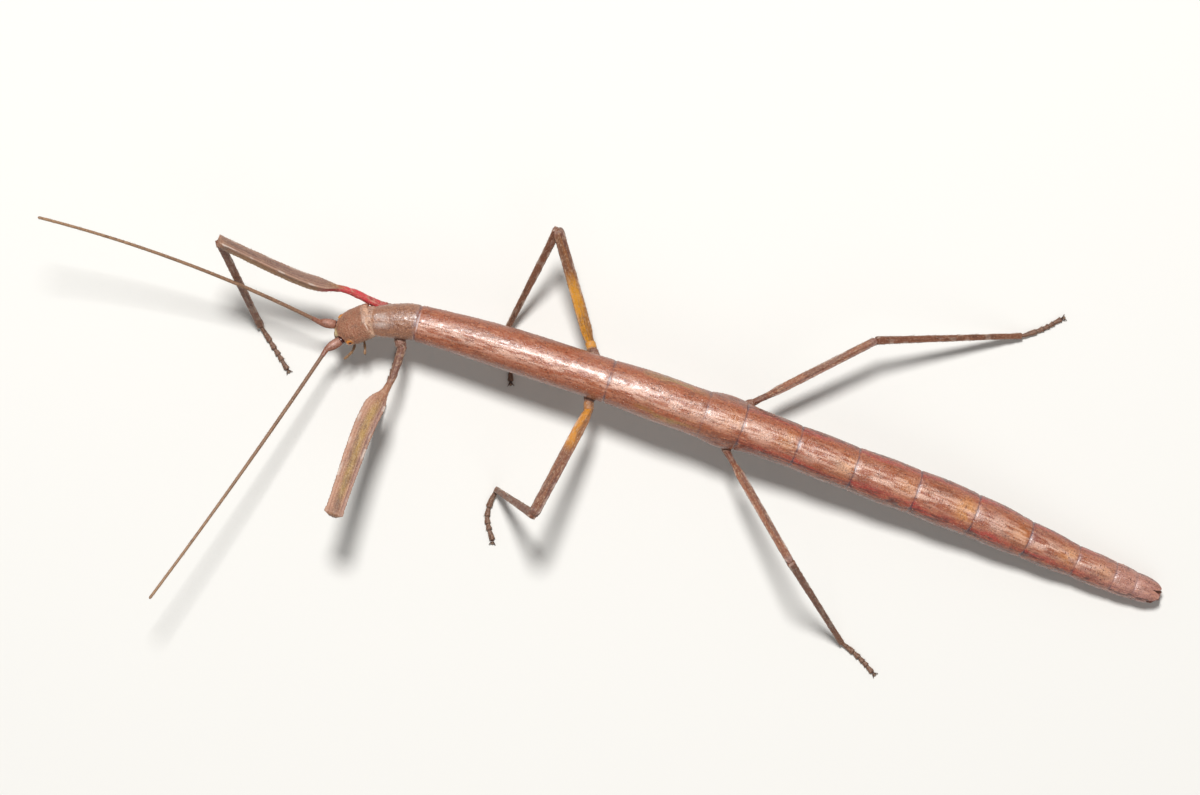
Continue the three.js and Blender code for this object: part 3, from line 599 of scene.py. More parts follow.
def trunkMasks(lay, along, angle, fromBorder):
    # where the colours lie: each is a product of eases and bells along and round the trunk, broken up by
    # smooth noise; the marks that follow a border stand behind the abdomen's own borders, from its first
    breadth = np.abs(angle)
    grain = noiseAt(lay, (2.2, 0.5, 0.5), 13.0)
    broken = smooth(noiseAt(lay, (0.3, 0.35, 0.35), 21.0), 0.25, 0.6)
    blot = noiseAt(lay, (0.8, 0.5, 0.5), 33.0)
    seam = (bell(fromBorder - 0.04, 0.07) * trunk["seams"]).sum(-1)
    wide = bell(fromBorder - 0.02, 0.16)
    blots = (bell(fromBorder - 0.05, 0.15) * trunk["seams"]).sum(-1) * bell(breadth - 1.0, 0.22)
    after = (np.exp(-np.maximum(fromBorder, 0) / 1.5) * (fromBorder > 0))[..., 3:].sum(-1)
    reach = (np.exp(-np.maximum(fromBorder, 0) / 4.0) * (fromBorder > 0))[..., 3:].max(-1)
    before = np.where(fromBorder < 0, bell(fromBorder + 1.0, 1.1), 0) * trunk["patches"]
    inAbdomen = smooth(along, 12, 20)
    return {
        "lay": lay,
        "border": np.clip(seam * (0.2 + 0.8 * broken) + blots, 0, 1),
        "frost": np.clip((wide * trunk["frosts"]).sum(-1) * bell(angle + 0.02, 0.16) * (0.4 + 0.6 * broken)
                         + bell(along + 19.74 + 0.05 * angle ** 2, 0.05) * smooth(breadth, 0.75, 0.3)
                         + 0.8 * bell(along + 22.3, 0.05) * smooth(breadth, 0.6, 0.35)
                         * (0.4 + 0.6 * broken), 0, 1),
        "occiput": (smooth(along, trunkStart + 0.5, trunkStart) * smooth(breadth, 1.6, 1.0)
                    * (0.5 + 0.5 * broken)),
        # pale band along the back where the key light's highlight falls: the abdomen's own pale band, and on the
        # thorax a painted highlight
        "dorsalBandAndPaintedHighlight": bell(angle + 0.12, 0.42) * smooth(noiseAt(lay, (1.2, 0.16, 0.16), 41.0), 0.3, 0.65),
        "bluish": np.clip(bell(along + 20.02, 0.17) * smooth(breadth, 1.0, 0.45) * broken
                          + wide[..., 1:].sum(-1) * bell(angle, 0.5) * 0.5, 0, 1),
        "glare": (bell(along + 23.3, 0.75) * (bell(angle - 0.28, 0.24) + bell(angle + 0.28, 0.24))
                  * smooth(blot, 0.2, 0.6)),
        "streak": np.clip(
            bell(breadth - 0.85 + 0.35 * (grain - 0.5), 0.16) * (0.2 + 1.1 * reach) * inAbdomen
            * (1 - 0.7 * smooth(along, 48, 56))
            + 0.35 * bell(breadth - 1.0, 0.35) * smooth(grain, 0.45, 0.7) * smooth(along, -10, 12), 0, 1),
        # darker, browner sides: partly the flanks' own brown, partly painted shade on the sides that turn away
        # from the light
        "lower": smooth(breadth, 0.75, 1.25),
        "veined": smooth(breadth, 0.7, 1.0) * smooth(along, 4, 20),
        "patch": np.clip(before.sum(-1) * bell(angle + 0.12, 0.5) * smooth(blot, 0.25, 0.55), 0, 1),
        "plum": np.clip(after * smooth(blot, 0.4, 0.65) * smooth(along, 26, 44) * bell(angle, 0.7), 0, 1),
        "olive": smooth(grain, 0.42, 0.62) * bell(breadth - 0.95, 0.35) * bell(along - 6.5, 3.8),
        "rust": smooth(blot, 0.5, 0.7) * bell(breadth - 0.9, 0.4) * bell(along - 7.5, 3.0),
        "rump": smooth(along, 50, 58),
        "under": smooth(breadth, 1.7, 2.1),
    }


trunkFinish = cuticle("trunkCuticle", {
    "base": "9a4a22", "dark": "562814", "pale": "d8986e", "blotches": 0.9, "stretch": 0.3, "mottling": 0.4,
    "evenWhere": "pronotal", "grain": 9.0, "topPaleness": 0.16, "roughness": 0.34, "specular": 1.0,
    "bump": 0.6, "bumpHeight": 0.00003, "coat": 0.35, "stippling": 0.6, "specks": 7.0,
    "pitColour": "47201e", "pitsPerMm": 2.3, "pitShare": 0.45, "pitRadius": 0.16, "pitStrength": 0.8,
    "lineMask": "veined", "linesPerMm": 2.1, "lineColour": "3c1a14", "lineStrength": 0.75,
    # the pale tone along the back is the abdomen's own band and, on the thorax, a painted highlight
    "tones": (("dorsalBandAndPaintedHighlight", "f2c8b2", 0.7), ("lower", "803a16", 0.65), ("streak", "b02a22", 0.85),
              ("patch", "e09a4c", 0.8), ("olive", "94803a", 0.65), ("rust", "c05a2c", 0.6),
              ("plum", "7e5864", 0.5), ("rump", "b8857a", 0.7), ("pronotal", "8e5f44", 0.95),
              ("occiput", "d8aa8c", 0.6), ("under", "8a5a3c", 0.6)),
    "over": (("wrinkle", "54251f", 0.55), ("flank", "4a2420", 0.5), ("bluish", "868090", 0.4),
             ("border", "3a2a3c", 0.7), ("glare", "d8ccc6", 0.4), ("frost", "e2dce0", 0.7),
             # near black in the hollow of the tail's lip: painted shade
             ("hollow", "120806", 1.0))})

points, masks = trunkSkin()
trunkSurface = {"points": points[:trunk["rings"]], "along": masks["lay"][:trunk["rings"], 0, 0]}
ends = trunkMiddle(np.array([trunkStart, trunkEnd - trunk["hollowDepth"] - 0.75]))
closedPiece("trunk_skin", points, ends, masks, trunkFinish, "trunk", *segmentNames)
print("trunk skin ready")


def bead():
    # template of a small ball: a ring of five above and one below the middle, and two poles
    turn = np.arange(5) * 2 * np.pi / 5
    wide, high = 0.894, 0.447
    upper = np.stack([wide * np.cos(turn), wide * np.sin(turn), np.full(5, high)], 1)
    lower = np.stack([wide * np.cos(turn + np.pi / 5), wide * np.sin(turn + np.pi / 5), np.full(5, -high)], 1)
    k, n = np.arange(5), (np.arange(5) + 1) % 5
    faces = np.vstack([np.stack([k, n, np.full(5, 10)], 1), np.stack([k, k + 5, n], 1),
                       np.stack([n, k + 5, n + 5], 1), np.stack([n + 5, k + 5, np.full(5, 11)], 1)])
    return np.vstack([upper, lower, [[0, 0, 1], [0, 0, -1]]]), faces


def bristle():
    # template of a hair one unit tall: two rings of three that narrow, a tip and a closed root; it bends
    # over towards +X by the square of the height
    turn = np.arange(3) * 2 * np.pi / 3
    rings = [np.stack([w * np.cos(turn), w * np.sin(turn), np.full(3, z)], 1)
             for w, z in ((1, -0.1), (0.7, 0.5))]
    points = np.vstack([*rings, [[0, 0, 1]]])
    k, n = np.arange(3), (np.arange(3) + 1) % 3
    faces = np.vstack([np.stack([k, n, k + 3], 1), np.stack([n, n + 3, k + 3], 1),
                       np.stack([k + 3, n + 3, np.full(3, 6)], 1), [[2, 1, 0]]])
    return points, faces


def spotsOn(points, spacing, seed, chance=None):
    # spots about evenly spread over a grid of rings: a lattice in steps of the spacing, shaken, thinned
    # where the rings are short, and again by chance, a mask with one value for each grid point
    rng = np.random.default_rng(seed)
    rows, columns = points.shape[:2]
    run = np.r_[0, np.cumsum(np.linalg.norm(np.diff(points, axis=0), axis=2).mean(1))]
    girth = np.linalg.norm(np.roll(points, -1, axis=1) - points, axis=2).sum(1)
    s = np.arange(spacing, run[-1] - spacing / 2, spacing)
    c = np.arange(0, girth.max(), spacing) / girth.max()
    s, c = np.meshgrid(s, c, indexing="ij")
    s = np.clip(s + (rng.random(s.shape) - 0.5) * spacing * 0.9, 0, run[-1]).ravel()
    c = ((c + rng.random(c.shape) * 0.9 * spacing / girth.max()) % 1).ravel()
    keep = rng.random(len(s)) < np.interp(s, run, girth) / girth.max()
    row, column = np.interp(s, run, np.arange(rows)), c * columns
    near = np.round(row).astype(int), np.round(column).astype(int) % columns
    if chance is not None:
        keep &= rng.random(len(s)) < np.broadcast_to(chance, (rows, columns))[near]
    row, column = row[keep], column[keep]
    r, k = np.minimum(row.astype(int), rows - 2), column.astype(int) % columns
    a, b = (row - r)[:, None], (column - np.floor(column))[:, None]
    n = (k + 1) % columns

    def blend(v):
        return (v[r, k] * (1 - a) + v[r + 1, k] * a) * (1 - b) + (v[r, n] * (1 - a) + v[r + 1, n] * a) * b

    ways = unit(np.gradient(points, axis=0))
    return {"root": blend(points), "normal": unit(blend(outwardOf(points))), "way": unit(blend(ways)),
            "uv": np.stack([row / rows, column / columns], 1), "rng": rng}


def joined(spots, template, width, height, lean=0.0, sink=0.3, band=(0.0, 1.0)):
    # one copy of the template on each spot: its Z along the normal, leaned over towards the limb's end
    shape, faces = template
    rng, count = spots["rng"], len(spots["root"])
    size = 0.6 + 0.8 * rng.random((count, 1))
    n = unit(spots["normal"] + spots["way"] * lean + (rng.random((count, 3)) - 0.5) * 0.4 * (lean > 0))
    a = unit(np.cross(np.cross(n, spots["way"]), n))
    b = np.cross(n, a)
    stretch = size * np.array([width, width, height])
    bend = shape[:, 2:] ** 2 * 0.3 * (lean > 0)
    local = stretch[:, None] * shape[None]
    local[..., 0] += bend[:, 0] * stretch[:, 2:]
    local[..., 2] -= sink * width
    points = spots["root"][:, None] + local @ np.stack([a, b, n], 1)
    allFaces = (faces[None] + (np.arange(count) * len(shape))[:, None, None]).reshape(-1, faces.shape[1])
    uv = spots["uv"] * [band[1] - band[0], 1] + [band[0], 0]
    uvs = np.clip(uv[:, None] + shape[None, :, :2] * 0.0012, 0.002, 0.998).reshape(-1, 2)
    return points.reshape(-1, 3), allFaces, uvs


def coatPiece(name, parts, material, slot):
    # several sets of copies joined in one piece, with a map that puts each copy at its root's place
    starts = np.cumsum([0] + [len(p[0]) for p in parts])[:-1]
    points = np.vstack([p[0] for p in parts])
    faces = np.vstack([p[1] + start for p, start in zip(parts, starts)])
    uvs = np.vstack([p[2] for p in parts])
    return addPiece(name, makeMesh(name, points, [faces], {"lay": points}, uvs), material, slot)


def plainCoat(name, pale, dark, roughness):
    # hairs and grains: between two colours from one patch of the body to the next
    material, tree, shader = newMaterial(name)
    spots = addNode(tree, "TexNoise", {"Vector": maskOf(tree, "lay", "Vector"), "Scale": 2.5, "Detail": 2.0})
    shade = rangeOf(tree, spots.outputs["Fac"], 0.35, 0.65)
    tree.links.new(mixOf(tree, shade, colour(dark), colour(pale)), shader.inputs["Base Color"])
    shader.inputs["Roughness"].default_value = roughness
    return material


grainCoat = plainCoat("cuticleGrains", "c79a84", "8a5343", 0.45)
headGrainCoat = plainCoat("headGrains", "b39a7c", "6a4c3c", 0.5)
hairCoat = plainCoat("fineHairs", "c9b39a", "7a5c48", 0.5)

skin = trunkSurface["points"]
along = trunkSurface["along"]
turn = np.abs(roundGap(np.arange(trunk["around"]) * 2 * np.pi / trunk["around"], 0))
chance = 0.12 + 0.4 * smooth(along, -8, -20)[:, None] + 0.5 * smooth(turn, 0.8, 1.4)[None, :]
offTail = smooth(along, 60, 57)[:, None]
spots = spotsOn(skin, 0.28, 21, chance * offTail)
coatPiece("trunk_grains", [joined(spots, bead(), 0.045, 0.052, sink=0.45)], grainCoat, "trunk")
print("trunk grains ready")

head = {
    "yaw": 41.5, "pitch": -8, "roll": -18, "root": (-24.48, -0.54, 7.2),
    "start": -0.35, "length": 4.41, "halfWidth": 1.84, "halfHeight": 1.34, "droop": 0.36,
    "rings": 190, "around": 200,
    "eyeAt": (2.68, 1.4, 0.02), "eyeHalves": (0.46, 0.31, 0.41), "eyeSides": (44, 28),
    "socketAt": (3.6, 0.9, 0.08), "socketRadius": 0.42,
    "rimHeight": 0.06, "furrow": 0.035, "pebbles": 0.06,
    "neckLength": 1.7, "neckInset": 0.6, "neckHalfWidth": 1.56, "neckHalfHeight": 1.2,
}


def turned(axis, degrees):
    c, s = np.cos(np.radians(degrees)), np.sin(np.radians(degrees))
    i, j = [(1, 2), (2, 0), (0, 1)][axis]
    m = np.eye(3)
    m[i, i] = m[j, j] = c
    m[i, j], m[j, i] = -s, s
    return m


headAxes = turned(2, head["yaw"]) @ turned(1, head["pitch"]) @ turned(0, head["roll"])


def fromNeck(forward, side, up):
    # point of the head's own frame, whose face looks forward and whose left side is negative
    local = np.stack(np.broadcast_arrays(-np.asarray(forward, float), side, up), -1)
    return local @ headAxes.T + np.array(head["root"])


def capsuleShape(along, angle):
    # blunt behind, with sides that narrow to the face while the top slopes down more slowly
    behind = 0.86 + 0.14 * np.sqrt(1 - (1 - np.clip(along / 0.24, 0, 1)) ** 2)
    behind = behind * np.sqrt(1 - (1 - np.clip(along / 0.03, 0, 1)) ** 2)
    before = np.sqrt(1 - np.clip((along - 0.49) / 0.51, 0, 1) ** 3)
    narrowed = (1 - np.clip((along - 0.43) / 0.57, 0, 1) ** 2.3) ** 0.85
    across = head["halfWidth"] * behind * narrowed
    deep = head["halfHeight"] * (1 - 0.12 * along) * behind * before
    up = deep * np.cos(angle) - head["droop"] * along ** 2
    return head["start"] + head["length"] * along, -across * np.sin(angle), up


def headSkin():
    t = np.linspace(0, 1, head["rings"] + 2)[1:-1, None]
    angle = roundGap(np.arange(head["around"]) * 2 * np.pi / head["around"], 0)[None, :]
    forward, side, up = capsuleShape((1 - np.cos(np.pi * t)) / 2, angle)
    own = np.stack([forward + 0 * up, side, up], -1)
    aside = own * [1, 0, 1] + np.abs(own) * [0, 1, 0]
    toEye = np.linalg.norm((aside - head["eyeAt"]) / np.array(head["eyeHalves"]), axis=-1)
    toSocket = np.linalg.norm(aside - head["socketAt"], axis=-1)
    top = smooth(up, 0.2, 0.8)
    eyeRim = bell(toEye - 1.12, 0.12)
    socketRim = bell(toSocket - head["socketRadius"] - 0.12, 0.09)
    midline = bell(side, 0.05) * smooth(forward, 3.0, 2.2) * top
    pebbled = noiseAt(own, 0.16, 4.0) - 0.5
    lobes = bell(np.abs(side) - 0.62, 0.34) * bell(forward - 0.8, 0.5) * top
    groove = bell(forward - 0.42 - 0.1 * bell(side, 0.5), 0.07) * smooth(up, -0.4, 0.3)
    brow = (bell(np.abs(side) - 1.02 + 0.1 * (forward - 2.6), 0.12) * bell(forward - 2.9, 0.6)
            * smooth(up, 0, 0.4))
    face = smooth(forward, 3.5, 3.75) * bell(side, 0.5)
    lift = (head["rimHeight"] * (eyeRim + socketRim) - 0.25 * smooth(toEye, 0.95, 0.6)
            - 0.3 * smooth(toSocket, head["socketRadius"], 0.1) - head["furrow"] * midline
            + head["pebbles"] * pebbled * (1 - face) + 0.05 * lobes - 0.045 * groove + 0.05 * brow)
    out = outwardOf(own)
    own = own + out * lift[..., None]
    points = fromNeck(own[..., 0], own[..., 1], own[..., 2])
    blotch = smooth(noiseAt(own, (0.35, 0.3, 0.3), 6.0), 0.35, 0.6)
    masks = {
        "lay": own, "face": face,
        "socket": smooth(toSocket, head["socketRadius"] + 0.22, head["socketRadius"]),
        "occiput": np.clip(smooth(forward, 0.7, 0.25) * (0.1 + 0.9 * blotch) * smooth(up, -0.6, 0.2), 0, 1),
        "line": groove * smooth(np.abs(side), 1.5, 1.0), "eyeRing": bell(toEye - 1.1, 0.16),
        "cheek": bell(up + 0.25, 0.3) * smooth(forward, 2.3, 1.6) * smooth(np.abs(side), 0.8, 1.2),
        "under": smooth(up, -0.5, -1.0),
    }
    ends = fromNeck(head["start"] + np.array([0, head["length"]]), 0.0, np.array([0, -head["droop"]]))
    return points, ends, masks


headFinish = cuticle("headCuticle", {
    "base": "925c43", "dark": "56382c", "pale": "c8a080", "blotches": 2.2, "stretch": 0.8, "mottling": 0.6,
    "grain": 9.0, "topPaleness": 0.25, "roughness": 0.5, "bump": 0.6, "bumpHeight": 0.00003,
    "stippling": 0.4, "specks": 10.0,
    "tones": (("occiput", "dcb296", 0.8), ("cheek", "a08060", 0.5), ("under", "8a6a4c", 0.6)),
    "over": (("face", "dec890", 0.9), ("eyeRing", "c08a4a", 0.5), ("line", "ecd6c6", 0.6),
             ("socket", "340b08", 0.97))})
points, ends, masks = headSkin()
closedPiece("head_skin", points, ends, masks, headFinish, "head", "head")
chance = 0.75 * (1 - masks["face"]) * (1 - masks["socket"]) * smooth(np.linalg.norm(
    (np.abs(masks["lay"]) * [1, 1, 0] + masks["lay"] * [0, 0, 1] - head["eyeAt"]), axis=-1), 0.4, 0.6)
coatPiece("head_grains", [joined(spotsOn(points, 0.17, 22, chance), bead(), 0.026, 0.028, sink=0.4)],
          headGrainCoat, "head")


def ball(centre, halves, rows, columns):
    # ellipsoid as rings round its side axis, in the head's own frame, with each point's own direction
    polar = np.linspace(0, np.pi, rows + 2)[1:-1, None]
    angle = np.arange(columns)[None, :] * 2 * np.pi / columns
    way = np.stack([np.sin(polar) * np.cos(angle), np.cos(polar) + 0 * angle,
                    np.sin(polar) * np.sin(angle)], -1)
    own = np.array(centre) + way * halves
    poles = np.array(centre) + np.array([[0, 1, 0], [0, -1, 0]]) * halves
    return own, way, poles


def eyeFinish():
    # amber glass over a dark middle, with the fine net of the facets as bump
    material, tree, shader = newMaterial("amberEye")
    facets = addNode(tree, "TexVoronoi", {"Vector": maskOf(tree, "lay", "Vector"), "Scale": 14.0})
    cloud = addNode(tree, "TexNoise", {"Vector": maskOf(tree, "lay", "Vector"), "Scale": 4.0, "Detail": 3.0})
    amber = mixOf(tree, cloud.outputs["Fac"], colour("d8862c"), colour("a8581a"))
    tone = mixOf(tree, maskOf(tree, "middle"), amber, colour("3a180c"))
    tone = mixOf(tree, maskOf(tree, "rim"), tone, colour("e8b060"))
    tree.links.new(tone, shader.inputs["Base Color"])
    shader.inputs["Roughness"].default_value = 0.22
    shader.inputs["Coat Weight"].default_value = 0.6
    shader.inputs["Coat Roughness"].default_value = 0.08
    height = rangeOf(tree, facets.outputs["Distance"], 0.6, 0.0)
    bump = addNode(tree, "Bump", {"Height": height, "Strength": 0.25, "Distance": 0.00001})
    tree.links.new(bump.outputs["Normal"], shader.inputs["Normal"])
    return material


amberEye = eyeFinish()
for sideName, sign in (("left", -1), ("right", 1)):
    centre = np.array(head["eyeAt"]) * [1, sign, 1]
    own, way, poles = ball(centre, np.array(head["eyeHalves"]), *head["eyeSides"])
    middleWay = unit(np.array([0.1, sign * 0.8, 0.6]))
    off = np.arccos(np.clip(way @ middleWay, -1, 1))
    masks = {"lay": own, "middle": smooth(off, 0.55, 0.25), "rim": bell(off - 1.05, 0.22) * 0.5}
    points = fromNeck(own[..., 0], own[..., 1], own[..., 2])
    ends = fromNeck(poles[:, 0], poles[:, 1], poles[:, 2])
    closedPiece(f"eyeball_{sideName}", points, ends, masks, amberEye, "eye", f"eye_{sideName}")

neckWay = pointing(180 + head["yaw"] * 0.6, 0)
neckRoot = np.array(trunk["neck"][:3]) - neckWay * head["neckInset"]
grid = limbGrid(straight(neckRoot, neckRoot + neckWay * head["neckLength"]), skyward,
                even(head["neckHalfWidth"], head["neckHalfHeight"]), 64, 0.03, (0.2, 0.2))
folds = uneven(grid["lay"], 0.06, (0.12, 0.6, 0.6), 17.0)
membraneFinish = cuticle("neckMembrane", {
    "base": "a87e66", "dark": "6e4a3e", "pale": "e4ccba", "blotches": 3.4, "mottling": 0.9, "stretch": 0.8,
    "grain": 12.0, "roughness": 0.42, "bump": 0.3, "stippling": 0.4, "specks": 8.0})
limbPiece("neck_membrane", grid, folds, {}, membraneFinish, "head", "neck")
print("head ready")

mouthFinish = cuticle("mouthCuticle", {
    "base": "8a6440", "dark": "56392a", "pale": "c4a27c", "blotches": 2.5, "grain": 11.0, "roughness": 0.4,
    "topPaleness": 0.1, "bump": 0.3, "coat": 0.2,
    "tones": (("joint", "5a3a26", 0.8), ("edge", "2a140c", 0.9))})
mouth = {  # parts of the mouth in the head's frame: start, end, half width, half height
    "labrum": ((3.45, 0, -0.72), (4.28, 0, -1.12), 0.78, 0.42),
    "mandible_left": ((2.7, -0.62, -1.02), (4.05, -0.2, -1.42), 0.4, 0.46),
    "mandible_right": ((2.7, 0.62, -1.02), (4.05, 0.2, -1.42), 0.4, 0.46),
    "maxilla_left": ((2.1, -0.55, -1.3), (3.75, -0.28, -1.72), 0.24, 0.2),
    "maxilla_right": ((2.1, 0.55, -1.3), (3.75, 0.28, -1.72), 0.24, 0.2),
    "labium": ((1.9, 0, -1.3), (3.5, 0, -1.72), 0.55, 0.26),
}
for number, (part, (start, end, halfWidth, halfHeight)) in enumerate(mouth.items()):
    path = straight(fromNeck(*start), fromNeck(*end))

    def wedge(t, a, wide=halfWidth, high=halfHeight):
        taper = 1 - 0.35 * t ** 2
        return wide * taper + 0 * a, high * taper * (1 - 0.12 * np.cos(2 * a))

    grid = limbGrid(path, headAxes[:, 2], wedge, 40, 0.04, (halfHeight * 0.7, halfHeight * 0.7))
    lift = uneven(grid["lay"], 0.03, 0.3, number + 2.0) - 0.03 * bell(grid["t"] - 0.45, 0.05)
    edge = smooth(grid["t"], 0.86, 0.98) * (0.3 + 0.7 * ("mandible" in part))
    limbPiece(part, grid, lift, {"joint": bell(grid["t"] - 0.45, 0.05), "edge": edge}, mouthFinish, "mouth",
              *(["mouthparts"] if part == "labrum" else []))

palps = {  # forward, out to the side and up from the neck; the right pair is tucked in
    "maxillary_palp_left": (-1, ((2.5, 0.8, -1.25), (2.75, 1.35, -1.7), (3.2, 1.75, -1.9), (4.3, 2.15, -2.1))),
    "maxillary_palp_right": (0.55, ((2.5, 1.5, -1.25), (2.8, 2.3, -1.9), (3.3, 2.5, -2.3), (4.3, 1.9, -2.5))),
    "labial_palp_left": (-1, ((1.75, 0.5, -1.2), (1.7, 1.2, -1.8), (1.85, 1.75, -2.1), (2.15, 2.45, -2.3))),
    "labial_palp_right": (0.6, ((1.75, 0.8, -1.2), (1.8, 1.6, -1.9), (2.1, 2.1, -2.3), (2.6, 2.2, -2.7))),
}
palpRadius, palpJoints = 0.15, 4


def beaded(t, angle):
    # round section that swells in the middle of each joint and thins out a little towards the tip
    swell = np.abs(np.sin(np.pi * t * palpJoints)) ** 0.6
    radius = palpRadius * (0.74 + 0.26 * swell) * (1 - 0.1 * t)
    return radius + 0 * angle, radius + 0 * angle


hairs = []
for number, (part, (spread, bones)) in enumerate(palps.items()):
    bones = np.array(bones) * [1, spread, 1]
    path = bent(fromNeck(bones[:, 0], bones[:, 1], bones[:, 2]), 160)
    grid = limbGrid(path, skyward, beaded, 24, 0.035, (0.12, 0.16))
    joint = bell(((grid["t"] * palpJoints + 0.5) % 1) - 0.5, 0.1) * smooth(grid["t"], 0.1, 0.2)
    limbPiece(f"{part}_skin", grid, 0.0, {"joint": joint, "edge": 0 * joint}, mouthFinish, "mouth", part)
    hairs.append(joined(spotsOn(grid["points"], 0.14, 40 + number), bristle(), 0.008, 0.11, 0.9, 0.3,
                        (number / 4, number / 4 + 0.24)))
coatPiece("palp_hairs", hairs, hairCoat, "mouth")
print("mouth ready")

antenna = {
    "scapeLength": 1.65, "scapeHalfWidth": 0.47, "scapeHalfThick": 0.32,
    "pedicelLength": 0.85, "pedicelRoot": 0.3, "pedicelTip": 0.22,
    "whipLength": 30, "whipRoot": 0.2, "whipTip": 0.15, "bones": 12, "gap": 0.06, "overlap": 0.2,
    "sides": (  # name, side, the scape's bearing, the whip's own bearing, how far it turns, its rise
        ("left", -1, -128, -103.5, -3, 9), ("right", 1, 191, 173.5, 12.4, 18.5)),
    "jointAtRoot": 0.34, "jointAtTip": 0.95, "hairLength": 0.16,
    "socketHalves": (0.42, 0.38), "socketDepth": 0.3, "socketRise": 0.12,
}
scapeFinish = cuticle("scapeCuticle", {
    "base": "86503a", "dark": "4e281e", "pale": "cc9c84", "blotches": 2.6, "grain": 10.0, "roughness": 0.42,
    "topPaleness": 0.2, "coat": 0.15, "stippling": 0.4,
    "tones": (("middle", "c09080", 0.5), ("keel", "5a2a20", 0.7))})
whipFinish = cuticle("whipCuticle", {
    "base": "77523e", "dark": "4c3022", "pale": "c0a07c", "blotches": 1.6, "stretch": 0.8, "grain": 12.0,
    "roughness": 0.5, "bump": 0.3,
    "tones": (("share", "a88460", 0.6),), "over": (("ring", "3e241a", 0.4), ("collarRing", "c8aa88", 0.15))})
socketFinish = cuticle("socketMembrane", {
    "base": "3a0f0a", "dark": "1c0604", "pale": "6a241a", "grain": 12.0, "roughness": 0.18, "coat": 0.6,
    "bump": 0.15, "mottling": 0.3})


def scapeSection(t, angle):
    full = np.sin(np.pi * (0.3 + 0.5 * t)) + 0 * angle
    return antenna["scapeHalfWidth"] * full, antenna["scapeHalfThick"] * full ** 0.6


def whipJoints(run, length):
    # number of joints passed at a distance along the whip; the joints grow longer towards its tip
    first, last = antenna["jointAtRoot"], antenna["jointAtTip"]
    k = (last - first) / length
    return np.log1p(k * run / first) / k


for number, (sideName, sign, scapeBearing, bearing, swing, rise) in enumerate(antenna["sides"]):
    root = fromNeck(head["socketAt"][0], sign * head["socketAt"][1], head["socketAt"][2])
    heading, onward = pointing(scapeBearing, rise), pointing(bearing, rise)
    knuckle = root + heading * antenna["scapeLength"]
    name = f"antenna_{sideName}"
    grid = limbGrid(straight(root - heading * antenna["socketDepth"], root + heading * antenna["socketRise"]),
                    skyward, even(*antenna["socketHalves"]), 40, 0.03, (0.2, 0.12))
    limbPiece(f"{name}_socket", grid, 0.0, {}, socketFinish, "head")
    grid = limbGrid(straight(root - heading * 0.1, knuckle), skyward, scapeSection, 56, 0.03, (0.15, 0.08))
    keel = bell(np.abs(np.sin(grid["angle"])) - 1, 0.12) + 0 * grid["t"]
    middle = bell(grid["t"] - 0.5, 0.28)
    middle = (bell(grid["angle"] * (grid["angle"] < 3), 0.5) * middle
              + bell(grid["angle"] - 2 * np.pi, 0.5) * middle)
    limbPiece(f"{name}_scape_skin", grid, 0.03 * keel + uneven(grid["lay"], 0.03, 0.15, 2.0),
              {"keel": keel, "middle": middle}, scapeFinish, "head", f"{name}_scape")
    ringRoot = knuckle - onward * antenna["overlap"]
    ringTip = knuckle + onward * (antenna["gap"] + antenna["pedicelLength"])
    grid = limbGrid(straight(ringRoot, ringTip), skyward,
                    tapered(antenna["pedicelRoot"], antenna["pedicelTip"]), 40, 0.03, (0.1, 0.05))
    limbPiece(f"{name}_pedicel_skin", grid, uneven(grid["lay"], 0.02, 0.15, 5.0),
              {"keel": smooth(grid["t"], 0.8, 1.0) + 0 * grid["angle"], "middle": 0 * grid["lay"][..., 0]},
              scapeFinish, "head", f"{name}_pedicel")
    bones = antenna["bones"]
    steps = np.array([pointing(bearing + swing * (k + 0.5) / bones, rise) for k in range(bones)])
    start = knuckle + onward * (2 * antenna["gap"] + antenna["pedicelLength"])
    chain = np.vstack([start, start + np.cumsum(steps * antenna["whipLength"] / bones, axis=0)])
    chain[0] -= onward * antenna["overlap"]
    path = bent(chain, 500)

    def whipSection(t, angle):
        thin = antenna["whipRoot"] + (antenna["whipTip"] - antenna["whipRoot"]) * smooth(t, 0, 0.9)
        joint = whipJoints(t * antenna["whipLength"], antenna["whipLength"]) % 1
        thin = thin * (1 - 0.09 * np.exp(-joint / 0.1) - 0.04 * np.exp(-(1 - joint) / 0.06))
        return thin + 0 * angle, thin + 0 * angle

    grid = limbGrid(path, skyward, whipSection, 18, 0.045, (0.05, 0.25))
    joint = whipJoints(grid["t"] * antenna["whipLength"], antenna["whipLength"]) % 1
    limbPiece(f"{name}_whip", grid, uneven(grid["lay"], 0.012, 0.12, 7.0 + number),
              {"share": grid["t"] ** 0.8, "ring": np.exp(-joint / 0.12),
               "collarRing": bell(joint - 0.9, 0.07)},
              whipFinish, "feeler", f"{name}_flagellum")
    spots = spotsOn(grid["points"], 0.2, 60 + number, 0.85)
    bits = spotsOn(grid["points"], 0.3, 70 + number, 0.035)
    coatPiece(f"{name}_hairs", [joined(spots, bristle(), 0.008, antenna["hairLength"], 1.1, 0.3, (0, 0.7)),
                                joined(bits, bead(), 0.05, 0.05, band=(0.72, 1))], hairCoat, "feeler")
print("antennae ready")

